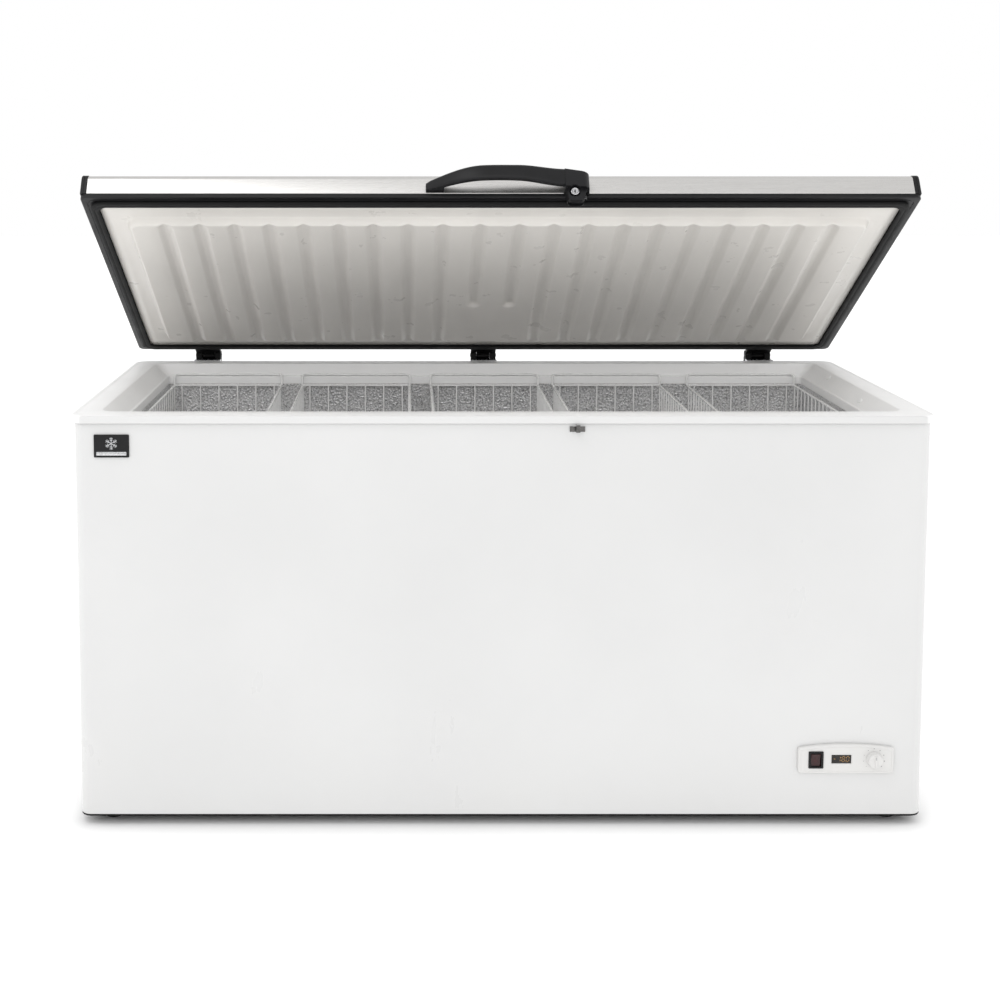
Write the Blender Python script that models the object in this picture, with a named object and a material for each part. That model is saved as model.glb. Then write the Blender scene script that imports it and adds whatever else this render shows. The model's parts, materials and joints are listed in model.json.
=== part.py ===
"""Chest freezer with a hinged lid, five hanging baskets and a small control panel.

Metres, +Z up, +X to the user's right, front at -Y. The freezer stands on z = 0 and the
origin is under the middle of its bounding box. The lid is modelled closed, in cabinet
coordinates, and its pivot empty turns it open.
"""
import math

import bmesh
import bpy
from mathutils import Vector

# ---------------------------------------------------------------- driving dimensions
RIM_W = 1.650            # rim frame, outside width
RIM_D = 0.740            # rim frame, outside depth
RIM_Z = 0.806            # top of the rim above the floor
FOOT_H = 0.018           # gap under the cabinet
CABINET_Y = -0.015       # cabinet centre, so that the box of the whole part is centred
GAP = 0.0003             # between touching pieces

SHELL_INSET = 0.007      # shell lies inside the rim's lip
SHELL_T = 0.002
SHELL_R = 0.022          # vertical corner radius of the shell
SHELL_FLANGE = 0.034     # the shell turns this far onto the back
LINER_INSET = 0.083      # inner face of the liner, from the rim's outline
LINER_T = 0.0012
FLOOR_Z = 0.090          # cavity floor
STEP_X = 0.460           # compressor step: its left face and its top
STEP_Z = 0.360
RIM_SKIRT = 0.047        # how far the rim frame reaches down inside the mouth
LEDGE_DROP = 0.0285      # basket ledge below the rim's top
COIL_R = 0.0035
COIL_SPACE = 0.009       # room for a coil behind a sheet

BAY_X = 0.530            # compressor bay: its left wall and its roof
BAY_Z = 0.290

LID_W = 1.640
LID_L = 0.738
LID_LIFT = 0.008         # underside of the lid frame above the rim, when closed
LID_FRAME_H = 0.008
LID_TOP = RIM_Z + 0.060
LID_ANGLE = 31.3         # opening of the lid at rest, in degrees
LID_SKIN_T = 0.0015
LID_NOSE_R = 0.012       # bend of the skin along the front edge
PLUG_DEPTH = 0.014       # inner panel below the lid frame
END_RAIL_T = 0.0127
PIVOT_Y = 0.4045
PIVOT_Z = 0.815

BASKET_W = 0.257
BASKET_XS = (-0.6020, -0.3020, -0.0015, 0.2840, 0.5990)
BASKET_FRONT = -0.270
BASKET_BACK = 0.312
BASKET_RIM_Z = RIM_Z - 0.051
BASKET_DEPTH = 0.220
BASKET_T = 0.004

FOOT_X = 0.760           # feet, from the middle
FOOT_Y = 0.310
DRAIN_X = -0.550
DRAIN_Y = -0.200
GLAND_X = 0.700
GLAND_Z = 0.120
GRILLE_Y = (0.010, 0.310)
GRILLE_Z = (0.050, 0.260)
SLOT_ROWS = 8            # slots of the side grille
SLOT_PITCH = 0.0225
REAR_VENT_X = (0.580, 0.780)
REAR_VENT_Z = 0.165
REAR_VENT_ROWS = 6
REAR_VENT_PITCH = 0.016
CAN_X = 0.665            # compressor
CAN_Y = 0.215
DRIER_X = 0.585
DRIER_Y = 0.085
BADGE_X = -0.7445
BADGE_Z = RIM_Z - 0.059
KEEPER_Z = RIM_Z - 0.0265

HINGE_XS = (-0.659, 0.0, 0.659)
HINGE_LOW = 0.680        # bottom of the spring housings
SPRING_Y = 0.3905
SPRING_LONG = 0.0980
HINGE_W = 0.059
HINGE_SLOT = 0.032
CHEEK_R = 0.0115         # round top of the hinge cheeks, about the pin
KNUCKLE_R = 0.0080       # end of the hinge arm, round the pin
PIN_R = 0.004
PIN_HOLE_R = 0.0047

PANEL_X = 0.666          # control panel
PANEL_Z = 0.135
PANEL_W = 0.185
PANEL_H = 0.058
PANEL_T = 0.007
KNOB_X = 0.7195
KNOB_R = 0.0150
ROCKER_X = 0.6075
ROCKER_W = 0.020
ROCKER_H = 0.026
DISPLAY_X = 0.6565

HANDLE_LEFT = -0.146
HANDLE_RIGHT = 0.1220    # the bar ends here, against the lock housing
HANDLE_PEAK = 0.42       # where the bow is fullest, as a share of the bar's length
HANDLE_BOW = 0.052       # bar's outer face from the lid's front, at the fullest
HANDLE_END_BOW = 0.040
HANDLE_T = 0.012
HANDLE_FOOT = 0.035
HEAD_FALL = 0.0065       # the lock's head gets lower towards its right end
LOCK_X = 0.141
LOCK_Z = 0.8105
LOCK_RIGHT = 0.168
LOCK_DEPTH = 0.026
CAM_REACH = 0.0245
LOCK_Y = -0.3708         # back of the lock housing, clear of the rim's lip
CAM_Y = -0.3765          # front of the cam

HALF_W = RIM_W / 2
HALF_D = RIM_D / 2
SHELL_FRONT = -HALF_D + SHELL_INSET
SHELL_BACK = HALF_D - SHELL_INSET
CAVITY_FRONT = -HALF_D + LINER_INSET + 0.004
CAVITY_BACK = HALF_D - 0.0535
LID_BOTTOM = RIM_Z + LID_LIFT
LID_SKIN_Z = LID_BOTTOM + LID_FRAME_H + GAP
HANDLE_LOW = LID_BOTTOM + 0.006

# colour, roughness, metallic
MATERIALS = {
    "painted_white": ((0.80, 0.80, 0.80), 0.35, 0.0),
    "white_plastic": ((0.84, 0.84, 0.83), 0.40, 0.0),
    "embossed_aluminium": ((0.62, 0.62, 0.63), 0.35, 1.0),
    "insulation": ((0.85, 0.80, 0.62), 0.90, 0.0),
    "copper_tube": ((0.70, 0.36, 0.20), 0.35, 1.0),
    "black_steel": ((0.03, 0.03, 0.03), 0.45, 0.3),
    "brushed_steel": ((0.66, 0.65, 0.63), 0.30, 1.0),
    "bright_steel": ((0.70, 0.70, 0.70), 0.22, 1.0),
    "black_plastic": ((0.035, 0.035, 0.038), 0.40, 0.0),
    "black_rubber": ((0.025, 0.025, 0.025), 0.80, 0.0),
    "white_wire": ((0.85, 0.85, 0.85), 0.30, 0.0),
    "red_plastic": ((0.25, 0.01, 0.01), 0.30, 0.0),
    "display_window": ((0.09, 0.05, 0.02), 0.15, 0.0),
}


# ---------------------------------------------------------------- tools
def clear_scene():
    for obj in list(bpy.data.objects):
        bpy.data.objects.remove(obj, do_unlink=True)


def material(name):
    found = bpy.data.materials.get(name)
    if found:
        return found
    color, roughness, metallic = MATERIALS[name]
    made = bpy.data.materials.new(name)
    made.use_nodes = True
    shader = made.node_tree.nodes["Principled BSDF"]
    shader.inputs["Base Color"].default_value = (*color, 1.0)
    shader.inputs["Roughness"].default_value = roughness
    shader.inputs["Metallic"].default_value = metallic
    return made


def empty(name, location, parent=None):
    made = bpy.data.objects.new(name, None)
    bpy.context.collection.objects.link(made)
    made.location = location
    made.parent = parent
    return made


def finish(name, bm, slot, parent, origin=(0, 0, 0), smooth=False):
    """Turn bm, drawn in the parent's coordinates, into an object with its own origin."""
    bmesh.ops.recalc_face_normals(bm, faces=bm.faces)
    bmesh.ops.translate(bm, verts=bm.verts, vec=-Vector(origin))
    mesh = bpy.data.meshes.new(name)
    bm.to_mesh(mesh)
    bm.free()
    if smooth:
        mesh.shade_smooth()
        mesh.set_sharp_from_angle(angle=math.radians(35))
    return place(name, mesh, slot, parent, origin)


def place(name, data, slot, parent, location):
    obj = bpy.data.objects.new(name, data)
    bpy.context.collection.objects.link(obj)
    obj.location = location
    obj.parent = parent
    if not data.materials:
        data.materials.append(material(slot))
    return obj


def add_loft(bm, loops, ring=False):
    """Join equal loops of points in order. A ring joins last to first, else ends are filled."""
    rows = [[bm.verts.new(point) for point in loop] for loop in loops]
    count = len(rows[0])
    pairs = list(zip(rows, rows[1:]))
    if ring:
        pairs.append((rows[-1], rows[0]))
    for low, high in pairs:
        for i in range(count):
            j = (i + 1) % count
            bm.faces.new((low[i], low[j], high[j], high[i]))
    if not ring:
        bm.faces.new(list(reversed(rows[0])))
        bm.faces.new(rows[-1])


def add_box(bm, x0, x1, y0, y1, z0, z1):
    loops = [[(x0, y0, z), (x1, y0, z), (x1, y1, z), (x0, y1, z)] for z in (z0, z1)]
    add_loft(bm, loops)


def add_prism_x(bm, outline, x0, x1):
    """Extrude an outline of (y, z) points along X."""
    add_loft(bm, [[(x, y, z) for y, z in outline] for x in (x0, x1)])


def add_prism_y(bm, outline, y0, y1):
    """Extrude an outline of (x, z) points along Y."""
    add_loft(bm, [[(x, y, z) for x, z in outline] for y in (y0, y1)])


def add_turned(bm, profile, centre, axis="Z", segments=16):
    """Turn a profile of (radius, height) pairs round an axis through centre."""
    loops = []
    for radius, height in profile:
        loop = []
        for i in range(segments):
            angle = 2 * math.pi * (i + 0.5) / segments
            a = radius * math.cos(angle)
            b = radius * math.sin(angle)
            offset = {"X": (height, a, b), "Y": (a, height, b), "Z": (a, b, height)}[axis]
            loop.append(Vector(centre) + Vector(offset))
        loops.append(loop)
    add_loft(bm, loops)


def rounded(x0, x1, y0, y1, radius, z, steps=4):
    """Rounded rectangle, counter-clockwise seen from above."""
    points = []
    corners = ((x1, y1, 0), (x0, y1, 90), (x0, y0, 180), (x1, y0, 270))
    for cx, cy, start in corners:
        ox = cx - math.copysign(radius, cx - (x0 + x1) / 2)
        oy = cy - math.copysign(radius, cy - (y0 + y1) / 2)
        for i in range(steps + 1):
            angle = math.radians(start + 90 * i / steps)
            points.append((ox + radius * math.cos(angle), oy + radius * math.sin(angle), z))
    return points


def carve(obj, cutter):
    """Subtract a cutter, drawn in the object's parent coordinates, and apply the cut."""
    bmesh.ops.recalc_face_normals(cutter, faces=cutter.faces)
    bmesh.ops.translate(cutter, verts=cutter.verts, vec=-obj.location)
    combine(obj, cutter, "DIFFERENCE")


def fuse(obj, extra):
    """Join another closed form onto the object."""
    bmesh.ops.recalc_face_normals(extra, faces=extra.faces)
    bmesh.ops.translate(extra, verts=extra.verts, vec=-obj.location)
    combine(obj, extra, "UNION")


def combine(obj, tool_bm, operation):
    mesh = bpy.data.meshes.new("tool")
    tool_bm.to_mesh(mesh)
    tool_bm.free()
    tool = bpy.data.objects.new("tool", mesh)
    bpy.context.collection.objects.link(tool)
    subject = bpy.data.objects.new("subject", obj.data)
    bpy.context.collection.objects.link(subject)
    modifier = subject.modifiers.new("cut", "BOOLEAN")
    modifier.object = tool
    modifier.operation = operation
    modifier.solver = "EXACT"
    depsgraph = bpy.context.evaluated_depsgraph_get()
    result = bpy.data.meshes.new_from_object(subject.evaluated_get(depsgraph))
    result.name = obj.name
    obj.data = result
    bpy.data.objects.remove(subject, do_unlink=True)
    bpy.data.objects.remove(tool, do_unlink=True)


def inset_loop(side, front, back, z, radius):
    """Loop at a distance inside the rim's outline, with its own inset at each wall."""
    return rounded(-HALF_W + side, HALF_W - side, -HALF_D + front, HALF_D - back, radius, z)


def coil_path(grow, z0, z1, turns, radius=0.006):
    """Tube route that climbs round the cavity, grown outwards from its walls."""
    half = HALF_W - LINER_INSET + grow
    loop = rounded(-half, half, CAVITY_FRONT - grow, CAVITY_BACK + grow, radius, 0, 2)
    total = turns * len(loop)
    points = []
    for i in range(total):
        x, y, _ = loop[i % len(loop)]
        points.append((x, y, z0 + (z1 - z0) * i / (total - 1)))
    return points


def tube(name, points, radius, slot, parent, sides=1):
    """Round bar or pipe along a row of points, with closed ends."""
    curve = bpy.data.curves.new(name, "CURVE")
    curve.dimensions = "3D"
    curve.bevel_depth = radius
    curve.bevel_resolution = sides
    curve.use_fill_caps = True
    spline = curve.splines.new("POLY")
    spline.points.add(len(points) - 1)
    for slot_point, point in zip(spline.points, points):
        slot_point.co = (*point, 1.0)
    return place(name, curve, slot, parent, (0, 0, 0))


# ---------------------------------------------------------------- cabinet
def outer_shell(cabinet):
    """Painted wrap round front, sides and rear corners, with openings for its fittings."""
    bottom = FOOT_H + 0.0032
    top = RIM_Z - 0.0045
    half = HALF_W - SHELL_INSET

    def wrap(inset, z):
        radius = SHELL_R - inset
        centres = ((-half + SHELL_R, SHELL_BACK - SHELL_R, 90),
                   (-half + SHELL_R, SHELL_FRONT + SHELL_R, 180),
                   (half - SHELL_R, SHELL_FRONT + SHELL_R, 270),
                   (half - SHELL_R, SHELL_BACK - SHELL_R, 0))
        outline = []
        for cx, cy, start in centres:
            for i in range(6):
                angle = math.radians(start + 90 * i / 5)
                outline.append((cx + radius * math.cos(angle), cy + radius * math.sin(angle), z))
        end = half - SHELL_FLANGE
        return [(-end, SHELL_BACK - inset, z)] + outline + [(end, SHELL_BACK - inset, z)]

    def sheet(z):
        return wrap(0, z) + list(reversed(wrap(SHELL_T, z)))

    bm = bmesh.new()
    add_loft(bm, [sheet(bottom), sheet(top)])
    shell = finish("outer_shell", bm, "painted_white", cabinet, smooth=True)
    cutter = bmesh.new()
    add_box(cutter, half - 0.02, half + 0.02, 0.02, 0.30, 0.06, 0.25)
    add_box(cutter, ROCKER_X - 0.0135, ROCKER_X + 0.0135, SHELL_FRONT - 0.01, SHELL_FRONT + 0.02,
            PANEL_Z - 0.0175, PANEL_Z + 0.0145)
    add_box(cutter, DISPLAY_X - 0.0195, DISPLAY_X + 0.0195, SHELL_FRONT - 0.01,
            SHELL_FRONT + 0.02, PANEL_Z - 0.009, PANEL_Z + 0.009)
    add_turned(cutter, ((0.006, -0.01), (0.006, 0.02)), (KNOB_X, SHELL_FRONT, PANEL_Z), "Y", 12)
    carve(shell, cutter)
    cutter = bmesh.new()
    for x, z in ((BADGE_X, BADGE_Z), (LOCK_X, KEEPER_Z)):
        add_turned(cutter, ((0.0028, -0.01), (0.0028, 0.02)), (x, SHELL_FRONT, z), "Y", 8)
    carve(shell, cutter)


def rear_panel(cabinet):
    half = HALF_W - SHELL_INSET - SHELL_FLANGE - GAP
    bm = bmesh.new()
    add_box(bm, -half, half, SHELL_BACK - SHELL_T, SHELL_BACK, FOOT_H + 0.0032, RIM_Z - 0.0045)
    panel = finish("rear_panel", bm, "painted_white", cabinet)
    cutter = bmesh.new()
    add_turned(cutter, ((0.0075, -0.02), (0.0075, 0.02)), (GLAND_X, SHELL_BACK, GLAND_Z), "Y",
               12)
    for row in range(REAR_VENT_ROWS):
        z = REAR_VENT_Z + row * REAR_VENT_PITCH
        add_box(cutter, *REAR_VENT_X, SHELL_BACK - 0.02, SHELL_BACK + 0.02, z, z + 0.007)
    carve(panel, cutter)


def base_pan(cabinet):
    """Pressed floor sheet with a turned-up edge."""
    half = HALF_W - SHELL_INSET
    bm = bmesh.new()
    add_loft(bm, [rounded(-half, half, SHELL_FRONT, SHELL_BACK, SHELL_R, z)
                  for z in (FOOT_H, FOOT_H + 0.0029)])
    pan = finish("base_pan", bm, "black_steel", cabinet)
    cutter = bmesh.new()
    add_turned(cutter, ((0.0105, -0.02), (0.0105, 0.02)), (DRAIN_X, DRAIN_Y, FOOT_H), "Z", 12)
    for row in range(5):
        x = 0.60 + row * 0.03
        add_box(cutter, x, x + 0.012, -0.20, -0.02, FOOT_H - 0.01, FOOT_H + 0.01)
    carve(pan, cutter)


def rim_frame(cabinet):
    """White moulded frame round the mouth: lip, flat top, sloped throat and basket ledge."""
    ledge = LEDGE_DROP
    stations = (                                     # side, front, back, drop, radius
        (0.0000, 0.0000, 0.0000, 0.0150, 0.030),
        (0.0000, 0.0000, 0.0000, 0.0035, 0.030),
        (0.0035, 0.0035, 0.0035, 0.0000, 0.028),
        (0.0520, 0.0510, 0.0460, 0.0000, 0.030),
        (0.0790, 0.0790, 0.0470, ledge, 0.012),
        (0.0825, 0.0870, 0.0535, ledge + 0.0010, 0.010),
        (0.0830, 0.0870, 0.0535, RIM_SKIRT, 0.010),
        (0.0790, 0.0830, 0.0495, RIM_SKIRT, 0.014),
        (0.0750, 0.0750, 0.0430, ledge + 0.0020, 0.014),
        (0.0500, 0.0490, 0.0430, 0.0040, 0.028),
        (0.0035, 0.0035, 0.0035, 0.0040, 0.026),
        (0.0035, 0.0035, 0.0035, 0.0150, 0.026),
    )
    loops = [inset_loop(s, f, b, RIM_Z - drop, r) for s, f, b, drop, r in stations]
    bm = bmesh.new()
    add_loft(bm, loops, ring=True)
    finish("rim_frame", bm, "white_plastic", cabinet, smooth=True)


def liner_outline(grow):
    """Cavity outline in (x, z) with its compressor step, grown outwards by grow."""
    half = HALF_W - LINER_INSET + grow
    low = FLOOR_Z - grow
    return [(-half, low), (STEP_X + grow, low), (STEP_X + grow, STEP_Z - grow),
            (half, STEP_Z - grow)]


def liner_prism(grow, top):
    half = HALF_W - LINER_INSET + grow
    bm = bmesh.new()
    outline = liner_outline(grow) + [(half, top), (-half, top)]
    add_prism_y(bm, outline, CAVITY_FRONT - grow, CAVITY_BACK + grow)
    return bm


def inner_liner(cabinet):
    """Embossed aluminium tank, open above, stepped over the compressor bay."""
    top = RIM_Z - RIM_SKIRT - GAP
    liner = finish("inner_liner", liner_prism(LINER_T, top), "embossed_aluminium", cabinet)
    carve(liner, liner_prism(0.0, top + 0.02))
    cutter = bmesh.new()
    add_turned(cutter, ((0.0115, -0.01), (0.0115, 0.01)), (DRAIN_X, DRAIN_Y, FLOOR_Z), "Z", 12)
    carve(liner, cutter)


def foam_core(cabinet):
    """Insulation between the tank and the shell, hollowed for both coils and the bay."""
    side = SHELL_INSET + SHELL_T + COIL_SPACE
    half = HALF_W - side
    bottom = FOOT_H + 0.0035
    top = RIM_Z - RIM_SKIRT - 0.001
    bm = bmesh.new()
    outline = [(-half, bottom), (BAY_X, bottom), (BAY_X, BAY_Z), (half, BAY_Z),
               (half, top), (-half, top)]
    add_prism_y(bm, outline, -HALF_D + side, SHELL_BACK - 0.008)
    foam = finish("foam_core", bm, "insulation", cabinet)
    carve(foam, liner_prism(LINER_T + GAP, top + 0.02))
    cutter = bmesh.new()
    widen = LINER_T + COIL_SPACE
    add_box(cutter, -HALF_W + LINER_INSET - widen, HALF_W - LINER_INSET + widen,
            CAVITY_FRONT - widen, CAVITY_BACK + widen, 0.385, top + 0.02)
    carve(foam, cutter)
    cutter = bmesh.new()
    add_turned(cutter, ((0.0105, -0.02), (0.0105, 0.12)), (DRAIN_X, DRAIN_Y, FOOT_H), "Z", 12)
    carve(foam, cutter)


def coils(cabinet):
    evaporator = coil_path(LINER_T + COIL_SPACE / 2, 0.40, 0.73, 4)
    tube("evaporator_coil", evaporator, COIL_R, "copper_tube", cabinet)
    inset = SHELL_INSET + SHELL_T + COIL_SPACE / 2
    tube("condenser_coil", serpentine(inset), COIL_R, "copper_tube", cabinet)


def serpentine(inset):
    """Condenser run, up and down across the back of the front sheet."""
    y = -HALF_D + inset
    points = []
    for i in range(12):
        x = -0.70 + i * 0.125
        ends = (0.10, 0.72) if x < 0.45 else (0.34, 0.72)
        low, high = ends if i % 2 == 0 else reversed(ends)
        points.append((x, y, low))
        points.append((x, y, high))
    return points


def compressor(cabinet):
    """Welded steel can on a plate with four rubber mounts, terminal box and drier."""
    cx = CAN_X
    cy = CAN_Y
    z0 = FOOT_H + 0.0029 + GAP
    mount_h = 0.016
    profile = ((0.030, 0.0), (0.070, 0.008), (0.082, 0.030), (0.084, 0.085), (0.089, 0.086),
               (0.089, 0.092), (0.084, 0.093), (0.080, 0.130), (0.060, 0.158), (0.025, 0.168))
    bm = bmesh.new()
    add_turned(bm, profile, (cx, cy, z0 + mount_h + 0.0045), "Z", 20)
    can = finish("compressor_shell", bm, "black_steel", cabinet, smooth=True)
    plate = bmesh.new()
    add_box(plate, cx - 0.085, cx + 0.085, cy - 0.060, cy + 0.060, z0 + mount_h,
            z0 + mount_h + 0.006)
    fuse(can, plate)
    cutter = bmesh.new()
    feet = [(cx + sx * 0.075, cy + sy * 0.050) for sx in (-1, 1) for sy in (-1, 1)]
    for x, y in feet:
        add_turned(cutter, ((0.0065, -0.02), (0.0065, 0.03)), (x, y, z0 + mount_h), "Z", 10)
    carve(can, cutter)
    for i, (x, y) in enumerate(feet):
        bm = bmesh.new()
        add_turned(bm, ((0.011, 0.0), (0.011, mount_h - GAP), (0.0055, mount_h - GAP),
                        (0.0055, mount_h + 0.010)), (x, y, z0), "Z", 10)
        finish(f"compressor_mount_{i + 1}", bm, "black_rubber", cabinet, smooth=True)
    bm = bmesh.new()
    add_box(bm, cx - 0.028, cx + 0.028, cy - 0.118, cy - 0.0895, z0 + 0.060, z0 + 0.118)
    finish("terminal_cover", bm, "black_plastic", cabinet)
    bm = bmesh.new()
    add_turned(bm, ((0.004, 0.0), (0.0095, 0.012), (0.0095, 0.080), (0.004, 0.092)),
               (DRIER_X, DRIER_Y, z0 + 0.030), "Z", 12)
    finish("filter_drier", bm, "copper_tube", cabinet, smooth=True)
    route = [(DRIER_X, DRIER_Y, z0 + 0.1225), (DRIER_X, DRIER_Y, 0.180), (0.600, 0.075, 0.215),
             (0.650, 0.070, 0.225), (0.700, 0.090, 0.225), (0.765, 0.150, 0.225),
             (0.775, 0.215, 0.210), (0.770, 0.240, 0.160)]
    tube("suction_line", route, 0.003, "copper_tube", cabinet)


def grille(cabinet):
    """Slotted vent cover on the right side, over the compressor bay."""
    x = HALF_W - SHELL_INSET
    bm = bmesh.new()
    add_box(bm, x + GAP, x + 0.006, *GRILLE_Y, *GRILLE_Z)
    cover = finish("compressor_grille", bm, "white_plastic", cabinet)
    cutter = bmesh.new()
    for row in range(SLOT_ROWS):
        z = GRILLE_Z[0] + 0.018 + row * SLOT_PITCH
        add_box(cutter, x - 0.02, x + 0.02, GRILLE_Y[0] + 0.018, GRILLE_Y[1] - 0.018, z,
                z + 0.012)
    carve(cover, cutter)


def feet(cabinet):
    spots = [(sx * FOOT_X, sy * FOOT_Y) for sx in (-1, 1) for sy in (-1, 1)]
    for i, (x, y) in enumerate(spots):
        bm = bmesh.new()
        add_turned(bm, ((0.019, 0.0), (0.021, 0.003), (0.017, FOOT_H - GAP)), (x, y, 0), "Z", 16)
        finish(f"foot_{i + 1}", bm, "black_rubber", cabinet, smooth=True)


def drain(cabinet):
    """Defrost drain: a sleeve through the floor and a pull-out plug above it."""
    x = DRAIN_X
    y = DRAIN_Y
    bm = bmesh.new()
    add_turned(bm, ((0.0095, 0.0), (0.0095, FLOOR_Z - 0.014), (0.0075, FLOOR_Z - 0.014),
                    (0.0075, 0.0)), (x, y, 0.012), "Z", 12)
    bmesh.ops.delete(bm, geom=[f for f in bm.faces if len(f.verts) > 4], context="FACES_ONLY")
    rings = [e for e in bm.edges if e.is_boundary]
    bmesh.ops.bridge_loops(bm, edges=rings)
    finish("drain_sleeve", bm, "white_plastic", cabinet, smooth=True)
    bm = bmesh.new()
    add_turned(bm, ((0.0068, -0.011), (0.0072, 0.0), (0.0072, GAP), (0.016, GAP), (0.014, 0.008),
                    (0.005, 0.009), (0.005, 0.016), (0.008, 0.017), (0.007, 0.021)),
               (x, y, FLOOR_Z + 0.0002), "Z", 12)
    finish("drain_plug", bm, "black_rubber", cabinet, origin=(x, y, FLOOR_Z), smooth=True)


def power_gland(cabinet):
    bm = bmesh.new()
    add_turned(bm, ((0.0070, -0.006), (0.0070, 0.0), (0.0070, GAP), (0.0120, GAP),
                    (0.0110, 0.006), (0.0070, 0.007)), (GLAND_X, SHELL_BACK, GLAND_Z), "Y", 12)
    finish("power_gland", bm, "black_rubber", cabinet, smooth=True)


# ---------------------------------------------------------------- front fittings
def control_panel(cabinet):
    front = SHELL_FRONT - GAP
    half = PANEL_W / 2
    low = -PANEL_H / 2
    outline = [(-half + 0.004, low), (half - 0.004, low), (half, low + 0.004)]
    for i in range(11):
        u = 1 - 2 * i / 10
        outline.append((half * u, 0.0190 + 0.0100 * (1 - u * u)))
    outline.append((-half, low + 0.004))
    bm = bmesh.new()
    loops = []
    for y, scale in ((front, 1.0), (front - PANEL_T + 0.002, 1.0), (front - PANEL_T, 0.985)):
        loops.append([(PANEL_X + u * scale, y, PANEL_Z + v * scale) for u, v in outline])
    add_loft(bm, loops)
    bezel = finish("control_bezel", bm, "white_plastic", cabinet)
    cutter = bmesh.new()
    add_box(cutter, ROCKER_X - 0.0135, ROCKER_X + 0.0135, front - 0.02, front + 0.01,
            PANEL_Z - 0.0175, PANEL_Z + 0.0145)
    add_box(cutter, DISPLAY_X - 0.0195, DISPLAY_X + 0.0195, front - 0.02, front + 0.01,
            PANEL_Z - 0.009, PANEL_Z + 0.009)
    add_turned(cutter, ((0.006, -0.02), (0.006, 0.01)), (KNOB_X, front, PANEL_Z), "Y", 12)
    carve(bezel, cutter)
    switch(cabinet, front)
    display(cabinet, front)
    thermostat(cabinet, front)


def switch(cabinet, front):
    """Rocker switch: a black housing pushed through the bezel and a red rocker in it."""
    z = PANEL_Z - 0.0015
    face = front - PANEL_T
    bm = bmesh.new()
    add_box(bm, ROCKER_X - 0.013, ROCKER_X + 0.013, face - 0.0015, face + 0.030, z - 0.0155,
            z + 0.0155)
    housing = finish("switch_housing", bm, "black_plastic", cabinet)
    flange = bmesh.new()
    add_box(flange, ROCKER_X - 0.0145, ROCKER_X + 0.0145, face - 0.0020, face - GAP, z - 0.017,
            z + 0.017)
    fuse(housing, flange)
    cutter = bmesh.new()
    add_box(cutter, ROCKER_X - ROCKER_W / 2, ROCKER_X + ROCKER_W / 2, face - 0.01, face + 0.016,
            z - ROCKER_H / 2, z + ROCKER_H / 2)
    carve(housing, cutter)
    half = ROCKER_H / 2 - 0.0010
    outline = [(0.0020, -half), (-0.0040, -half), (-0.0015, 0.0), (-0.0040, half), (0.0020, half),
               (0.0065, 0.0)]
    pivot = (ROCKER_X, face + 0.0035, z)
    width = ROCKER_W / 2 - 0.0006
    bm = bmesh.new()
    add_prism_x(bm, [(y + pivot[1], v + pivot[2]) for y, v in outline],
                ROCKER_X - width, ROCKER_X + width)
    rocker = finish("power_rocker", bm, "red_plastic", cabinet, origin=pivot)
    rocker.rotation_euler.x = math.radians(7)


def display(cabinet, front):
    face = front - PANEL_T
    bm = bmesh.new()
    add_box(bm, DISPLAY_X - 0.019, DISPLAY_X + 0.019, face + 0.004, face + 0.026,
            PANEL_Z - 0.0085, PANEL_Z + 0.0085)
    finish("display_module", bm, "black_plastic", cabinet)
    bm = bmesh.new()
    add_box(bm, DISPLAY_X - 0.019, DISPLAY_X + 0.019, face + 0.0005, face + 0.0037,
            PANEL_Z - 0.0085, PANEL_Z + 0.0085)
    finish("display_window", bm, "display_window", cabinet)


def thermostat(cabinet, front):
    face = front - PANEL_T
    bm = bmesh.new()
    add_box(bm, KNOB_X - 0.017, KNOB_X + 0.017, SHELL_FRONT + SHELL_T + GAP, SHELL_FRONT + 0.010,
            PANEL_Z - 0.020, PANEL_Z + 0.020)
    finish("thermostat_body", bm, "bright_steel", cabinet)
    axis = (KNOB_X, face, PANEL_Z)
    bm = bmesh.new()
    add_turned(bm, ((0.0050, 0.0088), (0.0050, -GAP), (KNOB_R, -GAP), (KNOB_R * 0.93, -0.0125),
                    (KNOB_R * 0.78, -0.0142)), axis, "Y", 20)
    knob = finish("thermostat_knob", bm, "white_plastic", cabinet, origin=axis, smooth=True)
    ridge = bmesh.new()
    add_box(ridge, KNOB_X - 0.0018, KNOB_X + 0.0018, face - 0.0170, face - 0.0100,
            PANEL_Z - 0.0115, PANEL_Z + 0.0115)
    fuse(knob, ridge)


def badge(cabinet):
    bm = bmesh.new()
    front = SHELL_FRONT - GAP
    outline = [(-0.0335, -0.022), (0.0335, -0.022), (0.0335, 0.022), (-0.0335, 0.022)]
    loops = []
    for y, scale in ((front, 1.0), (front - 0.0018, 1.0), (front - 0.0028, 0.97)):
        loops.append([(BADGE_X + u * scale, y, BADGE_Z + v * scale) for u, v in outline])
    add_loft(bm, loops)
    finish("badge_plate", bm, "black_plastic", cabinet)


def keeper(cabinet):
    """Lock keeper on the front sheet: a plate, and a post that ends in a raised lip."""
    z = KEEPER_Z
    y = SHELL_FRONT - GAP
    lip = CAM_Y - 0.0035
    bm = bmesh.new()
    add_box(bm, LOCK_X - 0.0145, LOCK_X + 0.0145, y - 0.002, y, z - 0.005, z + 0.005)
    plate = finish("lock_keeper", bm, "bright_steel", cabinet)
    post = bmesh.new()
    add_box(post, LOCK_X - 0.004, LOCK_X + 0.004, lip + 0.001, y - 0.001, z - 0.004, z - 0.001)
    fuse(plate, post)
    edge = bmesh.new()
    add_box(edge, LOCK_X - 0.004, LOCK_X + 0.004, lip, lip + 0.0025, z - 0.004, z + 0.010)
    fuse(plate, edge)


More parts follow.
